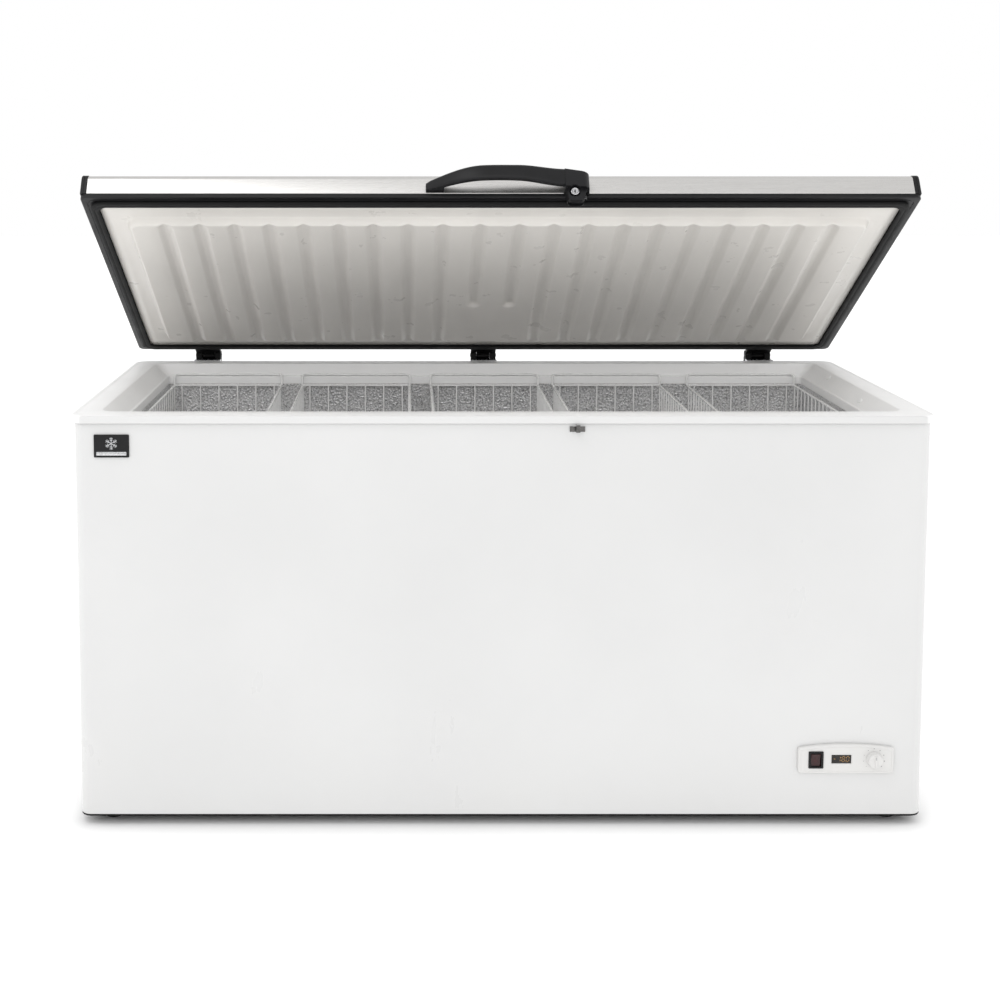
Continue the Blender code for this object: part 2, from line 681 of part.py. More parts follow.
# ---------------------------------------------------------------- baskets
def basket_mesh():
    """Basket round its own middle: a tray with a looped hanger along each end."""
    w = BASKET_W / 2
    front = BASKET_FRONT
    back = BASKET_BACK
    top = RIM_Z - LEDGE_DROP + GAP + 0.0045
    rim = BASKET_RIM_Z + 0.002
    bottom = rim - BASKET_DEPTH
    hook = 0.0105
    hook_front = -HALF_D + 0.0800
    outline = [(front, bottom), (back, bottom), (back, top - 0.0045), (back + hook, top - 0.0045),
               (back + hook, top), (hook_front, top), (hook_front, top - 0.0045),
               (front, top - 0.0045)]
    bm = bmesh.new()
    add_prism_x(bm, outline, -w, w)
    obj = finish("basket_template", bm, "white_wire", None)
    t = BASKET_T
    cutter = bmesh.new()
    add_box(cutter, -w + t, w - t, front + t, back - t, bottom + t, top + 0.05)
    carve(obj, cutter)
    cutter = bmesh.new()
    add_box(cutter, -w - 0.01, w + 0.01, front + t, back - t, rim, top + 0.05)
    carve(obj, cutter)
    cutter = bmesh.new()
    for x in (-w, w):
        for y in (front - 0.0205, back + 0.0205):
            add_box(cutter, x - 0.010, x + 0.010, y - 0.02, y + 0.02, top - 0.006, top + 0.01)
    carve(obj, cutter)
    cutter = bmesh.new()
    inner = w - t
    add_box(cutter, -inner, inner, front - 0.03, back + 0.03, rim, top - 0.0045)
    carve(obj, cutter)
    mesh = obj.data
    bpy.data.objects.remove(obj, do_unlink=True)
    return mesh


def baskets(cabinet):
    mesh = basket_mesh()
    for i, x in enumerate(BASKET_XS):
        place(f"basket_{i + 1}", mesh, "white_wire", cabinet, (x, 0, 0))


# ---------------------------------------------------------------- lid, modelled closed
def lid_skin(lid):
    """Brushed sheet over the top, bent down along the front and the back."""
    half = LID_W / 2 - END_RAIL_T - GAP

    def bent(shrink):
        r = LID_NOSE_R - shrink
        front = -LID_L / 2 + shrink
        points = [(front, LID_SKIN_Z)]
        for i in range(5):
            angle = math.radians(180 - 90 * i / 4)
            points.append((-LID_L / 2 + LID_NOSE_R + r * math.cos(angle),
                           LID_TOP - LID_NOSE_R + r * math.sin(angle)))
        points += [(LID_L / 2 - shrink, LID_TOP - shrink), (LID_L / 2 - shrink, LID_SKIN_Z)]
        return points

    bm = bmesh.new()
    add_prism_x(bm, bent(0) + list(reversed(bent(LID_SKIN_T))), -half, half)
    finish("lid_top_skin", bm, "brushed_steel", lid, smooth=True)


def lid_end_rails(lid):
    for name, side in (("left", -1), ("right", 1)):
        outline = [(-LID_L / 2 - 0.0005, LID_SKIN_Z)]
        for i in range(5):
            angle = math.radians(180 - 90 * i / 4)
            outline.append((-LID_L / 2 + LID_NOSE_R + (LID_NOSE_R + 0.0005) * math.cos(angle),
                            LID_TOP - LID_NOSE_R + (LID_NOSE_R + 0.0012) * math.sin(angle)))
        outline += [(LID_L / 2, LID_TOP + 0.0012), (LID_L / 2, LID_SKIN_Z)]
        x0 = side * (LID_W / 2 - END_RAIL_T)
        x1 = side * LID_W / 2
        bm = bmesh.new()
        add_prism_x(bm, outline, min(x0, x1), max(x0, x1))
        finish(f"lid_end_rail_{name}", bm, "black_plastic", lid, smooth=True)


def lid_loop(inset, z, radius, front_extra=0.0):
    return rounded(-LID_W / 2 + inset, LID_W / 2 - inset, -LID_L / 2 + inset + front_extra,
                   LID_L / 2 - inset, radius, z, 3)


def lid_frame(lid):
    bm = bmesh.new()
    loops = [lid_loop(0, LID_BOTTOM + 0.002, 0.012), lid_loop(0, LID_BOTTOM + LID_FRAME_H, 0.012),
             lid_loop(0.052, LID_BOTTOM + LID_FRAME_H, 0.03), lid_loop(0.052, LID_BOTTOM, 0.03),
             lid_loop(0.002, LID_BOTTOM, 0.010)]
    add_loft(bm, loops, ring=True)
    finish("lid_frame", bm, "black_plastic", lid)


def lid_gasket(lid):
    low = RIM_Z + 0.0005
    high = LID_BOTTOM - GAP
    bm = bmesh.new()
    loops = [lid_loop(0.020, high, 0.014), lid_loop(0.017, (low + high) / 2, 0.016),
             lid_loop(0.021, low, 0.016), lid_loop(0.030, low, 0.018),
             lid_loop(0.034, (low + high) / 2, 0.02), lid_loop(0.031, high, 0.02)]
    add_loft(bm, loops, ring=True)
    finish("lid_gasket", bm, "black_rubber", lid, smooth=True)


def lid_liner(lid):
    """Inner panel: a wide flange under the frame and a plug that drops into the mouth."""
    flange = LID_BOTTOM - GAP
    plug = LID_BOTTOM - PLUG_DEPTH
    t = 0.0015
    bm = bmesh.new()
    add_loft(bm, [lid_loop(0.0860, plug, 0.03), lid_loop(0.0750, flange - t, 0.03),
                  lid_loop(0.0380, flange - t, 0.025), lid_loop(0.0380, flange, 0.025),
                  lid_loop(0.0765, flange, 0.03), lid_loop(0.0875, plug + t, 0.03)])
    finish("lid_liner", bm, "white_plastic", lid, smooth=True)


def lid_foam(lid):
    bm = bmesh.new()
    add_loft(bm, [lid_loop(0.0890, LID_BOTTOM - PLUG_DEPTH + 0.0020, 0.03),
                  lid_loop(0.0785, LID_BOTTOM + 0.0004, 0.03),
                  lid_loop(0.0555, LID_BOTTOM + 0.0004, 0.03),
                  lid_loop(0.0555, LID_SKIN_Z + GAP, 0.03),
                  lid_loop(0.0140, LID_SKIN_Z + GAP, 0.004),
                  lid_loop(0.0140, LID_TOP - 0.010, 0.004),
                  lid_loop(0.0160, LID_TOP - 0.0020, 0.004)])
    finish("lid_foam", bm, "insulation", lid)


def ease(start, end, value):
    """0 before start, 1 after end, and a soft step between."""
    share = min(max((value - start) / (end - start), 0.0), 1.0)
    return share * share * (3 - 2 * share)


def swell_at(t):
    """How full the bar is: 0 at its left end, 1 from its peak on."""
    return math.sin(math.pi / 2 * min(t / HANDLE_PEAK, 1.0))


def bow_at(t):
    """Distance of the bar's outer face from the lid's front, along the bar."""
    fall = max(t - HANDLE_PEAK, 0.0) / (1 - HANDLE_PEAK)
    return (HANDLE_T + (HANDLE_BOW - HANDLE_T) * swell_at(t)
            - (HANDLE_BOW - HANDLE_END_BOW) * fall * fall)


def height_at(t):
    """Height of the bar: slim at its left end, fullest against the lock."""
    return 0.0185 + 0.0130 * swell_at(t) + 0.0050 * ease(0.55, 1.05, t)


def rise_at(t):
    """How far the bar's underside arches above its right end."""
    return (0.0035 + 0.0043 * ease(0.05, 0.60, t)) * (1 - ease(0.66, 0.97, t))


def handle(lid):
    """Bowed bar that leaves the lid's front on the left and ends against the lock."""
    wall = -LID_L / 2 - 0.0008
    length = HANDLE_RIGHT - HANDLE_LEFT
    foot = HANDLE_FOOT / length
    edge = 0.003
    shares = [0.0, foot * 0.5, foot, foot * 1.02]
    shares += [foot + (1 - foot) * i / 11 for i in range(1, 12)]
    loops = []
    for t in shares:
        x = HANDLE_LEFT + length * t
        outer = wall - bow_at(t)
        inner = wall if t <= foot else outer + HANDLE_T
        low = HANDLE_LOW + rise_at(t)
        top = low + height_at(t)
        loops.append([(x, outer + edge, low), (x, outer, low + edge), (x, outer, top - edge),
                      (x, outer + edge, top), (x, inner, top), (x, inner, low)])
    bm = bmesh.new()
    add_loft(bm, loops)
    finish("handle_grip", bm, "black_plastic", lid, smooth=True)


def lock(lid):
    """Lock housing at the handle's right end, with a barrel that turns a cam in it."""
    x0 = HANDLE_RIGHT + GAP
    face = LOCK_Y - LOCK_DEPTH
    low = RIM_Z - 0.014
    shoulder = HANDLE_LOW
    top = shoulder + height_at(1.0)
    outline = [(x0, low + 0.008), (x0 + 0.004, low), (LOCK_RIGHT - 0.008, low),
               (LOCK_RIGHT, low + 0.008), (LOCK_RIGHT, shoulder + 0.010), (x0, shoulder + 0.010)]
    bm = bmesh.new()
    add_prism_y(bm, outline, face, LOCK_Y)
    housing = finish("lock_housing", bm, "black_plastic", lid)
    head = bmesh.new()
    plan = [(x0, LOCK_Y), (x0, LOCK_Y + 0.001 - HANDLE_END_BOW),
            (LOCK_RIGHT - 0.010, LOCK_Y + 0.005 - HANDLE_END_BOW),
            (LOCK_RIGHT + 0.002, LOCK_Y + 0.014 - HANDLE_END_BOW), (LOCK_RIGHT + 0.004, LOCK_Y)]
    fall = HEAD_FALL / (LOCK_RIGHT + 0.004 - x0)
    add_loft(head, [[(x, y, shoulder) for x, y in plan],
                    [(x, y, top - fall * (x - x0)) for x, y in plan]])
    fuse(housing, head)
    cutter = bmesh.new()
    add_turned(cutter, ((0.0090, -0.03), (0.0090, 0.0160)), (LOCK_X, face, LOCK_Z), "Y", 16)
    carve(housing, cutter)
    cutter = bmesh.new()
    add_box(cutter, LOCK_X - 0.0120, LOCK_RIGHT - 0.0017, CAM_Y - 0.0070, LOCK_Y - 0.0022,
            low - 0.01, LOCK_Z + 0.0120)
    carve(housing, cutter)
    centre = (LOCK_X, face, LOCK_Z)
    bm = bmesh.new()
    add_turned(bm, ((0.0072, -0.0035), (0.0080, -0.0025), (0.0080, CAM_Y - face + 0.0002)),
               centre, "Y", 16)
    barrel = finish("lock_barrel", bm, "bright_steel", lid, origin=centre, smooth=True)
    cam = bmesh.new()
    add_box(cam, LOCK_X - 0.0035, LOCK_X + CAM_REACH, CAM_Y, CAM_Y + 0.0025,
            LOCK_Z - 0.0035, LOCK_Z + 0.0035)
    fuse(barrel, cam)


def hinges(cabinet, lid):
    for i, x in enumerate(HINGE_XS):
        hinge_base(cabinet, i + 1, x)
        hinge_arm(lid, i + 1, x)
        bm = bmesh.new()
        half = HINGE_W / 2 + 0.002
        add_turned(bm, ((PIN_R, -half), (PIN_R, half)), (x, PIVOT_Y, PIVOT_Z), "X", 12)
        finish(f"hinge_pin_{i + 1}", bm, "bright_steel", cabinet, smooth=True)
        spring(cabinet, i + 1, x)


def hinge_base(cabinet, number, x):
    """Spring housing on the back, with two round-topped cheeks that carry the pin."""
    wall = SHELL_BACK + GAP
    back = PIVOT_Y + CHEEK_R
    outline = [(wall, HINGE_LOW), (back, HINGE_LOW)]
    for i in range(7):
        angle = math.pi * i / 6
        outline.append((PIVOT_Y + CHEEK_R * math.cos(angle), PIVOT_Z + CHEEK_R * math.sin(angle)))
    outline += [(PIVOT_Y - CHEEK_R, RIM_Z - 0.0155), (wall, RIM_Z - 0.0155)]
    bm = bmesh.new()
    add_prism_x(bm, outline, x - HINGE_W / 2, x + HINGE_W / 2)
    base = finish(f"hinge_base_{number}", bm, "black_steel", cabinet, smooth=True)
    slot = HINGE_SLOT / 2
    cutter = bmesh.new()
    add_box(cutter, x - slot, x + slot, wall - 0.01, back + 0.01, 0.790, PIVOT_Z + 0.03)
    carve(base, cutter)
    cutter = bmesh.new()
    add_box(cutter, x - slot, x + slot, wall + 0.004, back - 0.003, HINGE_LOW + 0.004, 0.80)
    add_turned(cutter, ((PIN_HOLE_R, -0.05), (PIN_HOLE_R, 0.05)), (x, PIVOT_Y, PIVOT_Z), "X", 12)
    carve(base, cutter)


def hinge_arm(lid, number, x):
    """Block on the lid's back edge, split down its middle, with a knuckle round the pin."""
    half = HINGE_SLOT / 2 - 0.0010
    front = LID_L / 2 + GAP
    rear = PIVOT_Y - CHEEK_R - 0.0020
    low = PIVOT_Z + 0.0010
    bm = bmesh.new()
    add_box(bm, x - HINGE_W / 2, x + HINGE_W / 2, front, rear, low, low + 0.0400)
    arm = finish(f"hinge_arm_{number}", bm, "black_steel", lid, smooth=True)
    cutter = bmesh.new()
    add_box(cutter, x - 0.0008, x + 0.0008, front + 0.004, rear + 0.01, low - 0.01, low + 0.05)
    carve(arm, cutter)
    outline = [(rear - 0.006, PIVOT_Z + 0.0075), (rear - 0.006, PIVOT_Z + 0.0018)]
    for i in range(9):
        angle = math.radians(200 + 250 * i / 8)
        outline.append((PIVOT_Y + KNUCKLE_R * math.cos(angle),
                        PIVOT_Z + KNUCKLE_R * math.sin(angle)))
    web = bmesh.new()
    add_prism_x(web, outline, x - half, x + half)
    fuse(arm, web)
    cutter = bmesh.new()
    add_turned(cutter, ((PIN_HOLE_R, -0.05), (PIN_HOLE_R, 0.05)), (x, PIVOT_Y, PIVOT_Z), "X", 12)
    carve(arm, cutter)


def spring(cabinet, number, x):
    """Upright compression spring in the housing."""
    turns = 5
    per_turn = 8
    radius = 0.0095
    low = HINGE_LOW + 0.0070
    points = []
    for i in range(turns * per_turn + 1):
        angle = 2 * math.pi * i / per_turn
        z = low + SPRING_LONG * i / (turns * per_turn)
        points.append((x + radius * math.cos(angle), SPRING_Y + radius * math.sin(angle), z))
    tube(f"hinge_spring_{number}", points, 0.0016, "bright_steel", cabinet, 0)


# ---------------------------------------------------------------- assembly
def main():
    clear_scene()
    cabinet = empty("cabinet", (0, CABINET_Y, 0))
    lid_pivot = empty("lid_pivot", (0, PIVOT_Y, PIVOT_Z), cabinet)
    lid_pivot.rotation_euler.x = -math.radians(LID_ANGLE)
    lid = empty("lid_closed_frame", (0, -PIVOT_Y, -PIVOT_Z), lid_pivot)

    for make in (outer_shell, rear_panel, base_pan, rim_frame, inner_liner, foam_core, coils,
                 compressor, grille, feet, drain, power_gland, control_panel, badge, keeper,
                 baskets):
        make(cabinet)
    for make in (lid_skin, lid_end_rails, lid_frame, lid_gasket, lid_liner, lid_foam, handle,
                 lock):
        make(lid)
    hinges(cabinet, lid)
    bpy.context.view_layer.update()


main()
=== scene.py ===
"""Chest freezer: visible shapes, materials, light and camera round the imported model.

Metres, +Z up, front at -Y. Pieces of the lid are drawn with the lid closed, and OPEN turns
them about the record's lid hinge to where the lid stands at rest.
"""
import json
import math

import bmesh
import bpy
from mathutils import Matrix, Vector


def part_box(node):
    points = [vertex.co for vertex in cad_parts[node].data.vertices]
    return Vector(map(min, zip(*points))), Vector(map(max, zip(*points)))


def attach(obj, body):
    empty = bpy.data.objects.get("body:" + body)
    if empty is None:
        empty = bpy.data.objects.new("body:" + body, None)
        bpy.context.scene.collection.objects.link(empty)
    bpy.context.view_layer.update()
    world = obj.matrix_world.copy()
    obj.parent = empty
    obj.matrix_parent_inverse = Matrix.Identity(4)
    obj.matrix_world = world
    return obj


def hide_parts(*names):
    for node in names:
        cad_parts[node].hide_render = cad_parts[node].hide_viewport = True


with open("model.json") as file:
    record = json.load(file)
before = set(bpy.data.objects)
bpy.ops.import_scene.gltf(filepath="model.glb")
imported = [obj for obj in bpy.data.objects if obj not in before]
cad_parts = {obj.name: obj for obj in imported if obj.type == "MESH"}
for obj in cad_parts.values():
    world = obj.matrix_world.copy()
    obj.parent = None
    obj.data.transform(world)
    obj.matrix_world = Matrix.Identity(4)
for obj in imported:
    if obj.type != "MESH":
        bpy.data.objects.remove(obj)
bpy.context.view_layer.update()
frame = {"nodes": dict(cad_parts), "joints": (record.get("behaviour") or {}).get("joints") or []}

JOINTS = {joint["name"]: joint for joint in frame["joints"]}
NODES = frame["nodes"]

PIVOT = Vector(JOINTS["lid_hinge"]["pos_m"])
SWING = math.radians(JOINTS["lid_hinge"]["range_deg"][0])
OPEN = (Matrix.Translation(PIVOT) @ Matrix.Rotation(SWING, 4, "X")
        @ Matrix.Translation(-PIVOT))
CLOSE = OPEN.inverted()
LID_BODIES = ("lid", "lock")


def closed_box(node):
    """Box of one of the lid's nodes with the lid closed."""
    points = [CLOSE @ vertex.co for vertex in NODES[node].data.vertices]
    return (Vector([min(axis) for axis in zip(*points)]),
            Vector([max(axis) for axis in zip(*points)]))


RIM_LOW, RIM_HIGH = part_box("rim_frame")
TOP = RIM_HIGH.z
HALF_W = RIM_HIGH.x
MID_Y = (RIM_LOW.y + RIM_HIGH.y) / 2
SHELL_LOW, SHELL_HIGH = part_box("outer_shell")
LINER_LOW, LINER_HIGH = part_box("inner_liner")
SKIN_LOW, SKIN_HIGH = closed_box("lid_top_skin")
FRAME_LOW, FRAME_HIGH = closed_box("lid_frame")


def middle_of(node):
    lo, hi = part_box(node)
    return (lo + hi) / 2


KNOB = middle_of("thermostat_knob")


# ---------------------------------------------------------------- mesh tools
def loft(bm, loops, ring=False):
    """Join equal rows of points. A ring joins last to first, else the ends are filled."""
    rows = [[bm.verts.new(point) for point in loop] for loop in loops]
    count = len(rows[0])
    pairs = list(zip(rows, rows[1:]))
    if ring:
        pairs.append((rows[-1], rows[0]))
    for low, high in pairs:
        for i in range(count):
            j = (i + 1) % count
            bm.faces.new((low[i], low[j], high[j], high[i]))
    if not ring:
        bm.faces.new(list(reversed(rows[0])))
        bm.faces.new(rows[-1])


def block(bm, x0, x1, y0, y1, z0, z1):
    loft(bm, [[(x0, y0, z), (x1, y0, z), (x1, y1, z), (x0, y1, z)] for z in (z0, z1)])


def prism_x(bm, outline, x0, x1):
    loft(bm, [[(x, y, z) for y, z in outline] for x in (x0, x1)])


def prism_y(bm, outline, y0, y1):
    loft(bm, [[(x, y, z) for x, z in outline] for y in (y0, y1)])


def turned(bm, profile, centre, axis="Z", segments=48):
    """Turn (radius, height) pairs round an axis through centre."""
    loops = []
    for radius, height in profile:
        loop = []
        for i in range(segments):
            angle = 2 * math.pi * i / segments
            a, b = radius * math.cos(angle), radius * math.sin(angle)
            offset = {"X": (height, a, b), "Y": (a, height, b), "Z": (a, b, height)}[axis]
            loop.append(Vector(centre) + Vector(offset))
        loops.append(loop)
    loft(bm, loops)


def corner_points(x0, x1, y0, y1, radius, steps=8):
    """Rounded rectangle as (x, y) points, counter-clockwise."""
    points = []
    for cx, cy, start in ((x1, y1, 0), (x0, y1, 90), (x0, y0, 180), (x1, y0, 270)):
        ox = cx - math.copysign(radius, cx - (x0 + x1) / 2)
        oy = cy - math.copysign(radius, cy - (y0 + y1) / 2)
        for i in range(steps + 1):
            angle = math.radians(start + 90 * i / steps)
            points.append((ox + radius * math.cos(angle), oy + radius * math.sin(angle)))
    return points


def rounded(x0, x1, y0, y1, radius, z, steps=8):
    return [(x, y, z) for x, y in corner_points(x0, x1, y0, y1, radius, steps)]


def smooth_corners(points, radius, steps=5):
    """Replace each inner corner of an open route of points by a short curve."""
    route = [Vector(points[0])]
    for before, here, after in zip(points, points[1:], points[2:]):
        before, here, after = Vector(before), Vector(here), Vector(after)
        reach_in = min(radius, (before - here).length * 0.49)
        reach_out = min(radius, (after - here).length * 0.49)
        start = here + (before - here).normalized() * reach_in
        end = here + (after - here).normalized() * reach_out
        for i in range(steps + 1):
            t = i / steps
            route.append(start.lerp(here, t).lerp(here.lerp(end, t), t))
    route.append(Vector(points[-1]))
    return route


def ease(low, high, value):
    """Smooth step from 0 at low to 1 at high."""
    t = min(1.0, max(0.0, (value - low) / (high - low)))
    return t * t * (3 - 2 * t)


def cut(obj, cutter, operation="DIFFERENCE"):
    """Apply a boolean with another mesh, drawn in the same coordinates."""
    bmesh.ops.recalc_face_normals(cutter, faces=cutter.faces)
    mesh = bpy.data.meshes.new("tool")
    cutter.to_mesh(mesh)
    cutter.free()
    tool = bpy.data.objects.new("tool", mesh)
    bpy.context.scene.collection.objects.link(tool)
    subject = bpy.data.objects.new("subject", obj.data)
    bpy.context.scene.collection.objects.link(subject)
    modifier = subject.modifiers.new("cut", "BOOLEAN")
    modifier.object = tool
    modifier.operation = operation
    modifier.solver = "EXACT"
    depsgraph = bpy.context.evaluated_depsgraph_get()
    result = bpy.data.meshes.new_from_object(subject.evaluated_get(depsgraph))
    bpy.data.objects.remove(subject, do_unlink=True)
    bpy.data.objects.remove(tool, do_unlink=True)
    old, obj.data = obj.data, result
    bpy.data.meshes.remove(old)
    sharpen(result)


def cut_block(obj, *sides):
    cutter = bmesh.new()
    block(cutter, *sides)
    cut(obj, cutter)


def cut_turned(obj, profile, centre, axis="Y", segments=24):
    cutter = bmesh.new()
    turned(cutter, profile, centre, axis, segments)
    cut(obj, cutter)


def sharpen(mesh, angle=35):
    mesh.shade_smooth()
    mesh.set_sharp_from_angle(angle=math.radians(angle))


def draft(name, bm):
    """Object from a bmesh, not yet finished, so that cuts can follow."""
    bmesh.ops.recalc_face_normals(bm, faces=bm.faces)
    mesh = bpy.data.meshes.new(name)
    bm.to_mesh(mesh)
    bm.free()
    sharpen(mesh)
    obj = bpy.data.objects.new(name, mesh)
    bpy.context.scene.collection.objects.link(obj)
    return obj


def settle(obj, material, body, replaces=(), bevel=0.0, segments=3):
    """Give a piece its material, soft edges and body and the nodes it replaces."""
    obj.data.materials.clear()
    obj.data.materials.append(material)
    if bevel:
        soften(obj, bevel, segments)
    if body in LID_BODIES:
        obj.data.transform(OPEN)
    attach(obj, body)
    if replaces:
        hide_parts(*replaces)
    return obj


def thicken(obj, thickness):
    solid = obj.modifiers.new("sheet", "SOLIDIFY")
    solid.thickness = thickness
    solid.offset = 1.0
    return obj


def soften(obj, width, segments=3, weld=False):
    if weld:
        obj.modifiers.new("weld", "WELD").merge_threshold = 0.00001
    modifier = obj.modifiers.new("edges", "BEVEL")
    modifier.width = width
    modifier.segments = segments
    modifier.limit_method = "ANGLE"
    modifier.angle_limit = math.radians(32)
    modifier.harden_normals = True


def wires(name, routes, radius, material, body, replaces=(), sides=3):
    """One curve object of many round bars. A route is (points, closed)."""
    curve = bpy.data.curves.new(name, "CURVE")
    curve.dimensions = "3D"
    curve.bevel_depth = radius
    curve.bevel_resolution = sides
    curve.use_fill_caps = True
    for points, closed in routes:
        spline = curve.splines.new("POLY")
        spline.points.add(len(points) - 1)
        for target, point in zip(spline.points, points):
            target.co = (*point, 1.0)
        spline.use_cyclic_u = closed
        spline.use_smooth = True
    obj = bpy.data.objects.new(name, curve)
    bpy.context.scene.collection.objects.link(obj)
    return settle(obj, material, body, replaces)


# ---------------------------------------------------------------- material tools
class Graph:
    """One node material under construction, in the piece's own coordinates."""

    def __init__(self, name, metallic=0.0):
        self.material = bpy.data.materials.new(name)
        self.material.use_nodes = True
        self.tree = self.material.node_tree
        self.shader = self.tree.nodes["Principled BSDF"]
        self.shader.inputs["Metallic"].default_value = metallic
        self.coords = self.node("TexCoord").outputs["Object"]

    def node(self, kind, inputs=None, **settings):
        made = self.tree.nodes.new("ShaderNode" + kind)
        for key, value in settings.items():
            setattr(made, key, value)
        for key, value in (inputs or {}).items():
            self.feed(made.inputs[key], value)
        return made

    def feed(self, socket, value):
        if isinstance(value, bpy.types.NodeSocket):
            self.tree.links.new(value, socket)
        else:
            socket.default_value = value

    def placed(self, stretch):
        return self.node("Mapping", {"Vector": self.coords, "Scale": stretch}).outputs[0]

    def noise(self, scale, detail=3.0, stretch=(1, 1, 1), roughness=0.5):
        return self.node("TexNoise", {"Vector": self.placed(stretch), "Scale": scale,
                                      "Detail": detail, "Roughness": roughness}).outputs["Fac"]

    def cells(self, scale, feature="F1"):
        return self.node("TexVoronoi", {"Vector": self.placed((1, 1, 1)), "Scale": scale},
                         feature=feature).outputs["Distance"]

    def axis(self, name):
        return self.node("SeparateXYZ", {"Vector": self.coords}).outputs[name]

    def span(self, value, low, high, to_low, to_high):
        """Map low..high to to_low..to_high, held at the ends."""
        return self.node("MapRange", {"Value": value, "From Min": low, "From Max": high,
                                      "To Min": to_low, "To Max": to_high}).outputs[0]

    def math(self, operation, a, b):
        made = self.node("Math", operation=operation)
        self.feed(made.inputs[0], a)
        self.feed(made.inputs[1], b)
        return made.outputs[0]

    def mix(self, factor, a, b):
        made = self.node("Mix", data_type="RGBA")
        self.feed(made.inputs[0], factor)
        self.feed(made.inputs[6], a)
        self.feed(made.inputs[7], b)
        return made.outputs[2]

    def bump(self, height, strength, distance, under=None):
        made = self.node("Bump", {"Height": height, "Strength": strength,
                                  "Distance": distance})
        if under is not None:
            self.feed(made.inputs["Normal"], under)
        return made.outputs[0]

    def finish(self, color, roughness, normal=None, **constants):
        self.feed(self.shader.inputs["Base Color"], color)
        self.feed(self.shader.inputs["Roughness"], roughness)
        if normal is not None:
            self.feed(self.shader.inputs["Normal"], normal)
        for key, value in constants.items():
            self.shader.inputs[key.replace("_", " ")].default_value = value
        return self.material


def tone(color, share=1.0):
    """A colour made lighter or darker, with full opacity."""
    return (*(min(1.0, channel * share) for channel in color), 1.0)


# ---------------------------------------------------------------- materials
def coated_sheet():
    """White enamel on sheet steel: fine orange peel, faint clouding, dulled near the floor."""
    color = (0.68, 0.68, 0.677)
    g = Graph("enamel_white")
    cloud = g.noise(2.2, 5.0)
    tint = g.mix(g.span(cloud, 0.35, 0.65, 0.0, 1.0), tone(color, 0.975), tone(color, 1.02))
    low = g.span(g.axis("Z"), 0.02, 0.24, 1.0, 0.0)
    dust = g.math("MULTIPLY", low, g.span(g.noise(9.0, 6.0), 0.4, 0.7, 0.02, 0.12))
    tint = g.mix(dust, tint, (0.60, 0.585, 0.55, 1.0))
    smudge = g.noise(6.0, 6.0, (1.0, 1.0, 0.35), 0.6)
    rough = g.span(smudge, 0.3, 0.7, 0.26, 0.40)
    peel = g.bump(g.noise(620.0, 2.0), 0.05, 0.0001)
    waves = g.bump(g.noise(5.5, 2.0), 0.05, 0.002, peel)
    return g.finish(tint, rough, waves, Coat_Weight=0.25, Coat_Roughness=0.12)


def moulded_white(name="moulded_white", color=(0.88, 0.878, 0.875)):
    """White moulding: leathery micro grain, flow marks and a little warm ageing."""
    g = Graph(name)
    flow = g.noise(4.0, 4.0, (0.5, 2.0, 1.0))
    tint = g.mix(g.span(flow, 0.3, 0.7, 0.0, 1.0), tone(color, 0.965),
                 tone((color[0], color[1] * 0.996, color[2] * 0.985), 1.015))
    rough = g.span(g.noise(18.0, 5.0), 0.3, 0.7, 0.34, 0.48)
    grain = g.bump(g.cells(900.0), 0.12, 0.0002)
    sink = g.bump(g.noise(14.0, 2.0), 0.06, 0.001, grain)
    return g.finish(tint, rough, sink)


def rim_moulding():
    """White moulding of the rim, with painted shade that greys the outer lip against the top and
    the throat.
    """
    color = (0.92, 0.918, 0.914)
    g = Graph("rim_moulding")
    flow = g.noise(4.0, 4.0, (0.5, 2.0, 1.0))
    tint = g.mix(g.span(flow, 0.3, 0.7, 0.0, 1.0), tone(color, 0.975), tone(color, 1.01))
    # painted shade: the outer lip at the front and sides is mixed towards grey, darker than the top
    # and the throat
    across = g.math("SUBTRACT", g.math("ABSOLUTE", g.axis("X"), 0.0), HALF_W)
    along = g.math("SUBTRACT", g.math("MULTIPLY", g.axis("Y"), -1.0), -RIM_LOW.y)
    outer = g.span(g.math("MAXIMUM", across, along), -0.0032, -0.0008, 0.0, 1.0)
    tint = g.mix(outer, tint, tone((0.70, 0.70, 0.696)))
    rough = g.span(g.noise(18.0, 5.0), 0.3, 0.7, 0.34, 0.48)
    return g.finish(tint, rough, g.bump(g.cells(900.0), 0.12, 0.0002))


def stucco_aluminium():
    """Embossed tank sheet: irregular raised cells, fine wrinkles and dull patches."""
    g = Graph("stucco_aluminium", metallic=0.6)
    pebble = g.cells(230.0, "SMOOTH_F1")
    wrinkle = g.noise(380.0, 3.0, (1.0, 1.0, 1.0), 0.62)
    patch = g.noise(3.0, 5.0)
    tint = g.mix(g.span(pebble, 0.15, 0.75, 0.0, 1.0), (0.94, 0.94, 0.95, 1.0),
                 (0.40, 0.40, 0.41, 1.0))
    tint = g.mix(g.span(wrinkle, 0.42, 0.62, 0.0, 0.55), tint, (0.98, 0.98, 1.0, 1.0))
    tint = g.mix(g.span(patch, 0.35, 0.7, 0.0, 0.25), tint, (0.40, 0.40, 0.41, 1.0))
    rough = g.span(wrinkle, 0.35, 0.65, 0.24, 0.46)
    height = g.math("ADD", g.math("MULTIPLY", pebble, -1.0), g.math("MULTIPLY", wrinkle, 0.5))
    return g.finish(tint, rough, g.bump(height, 0.85, 0.0016))


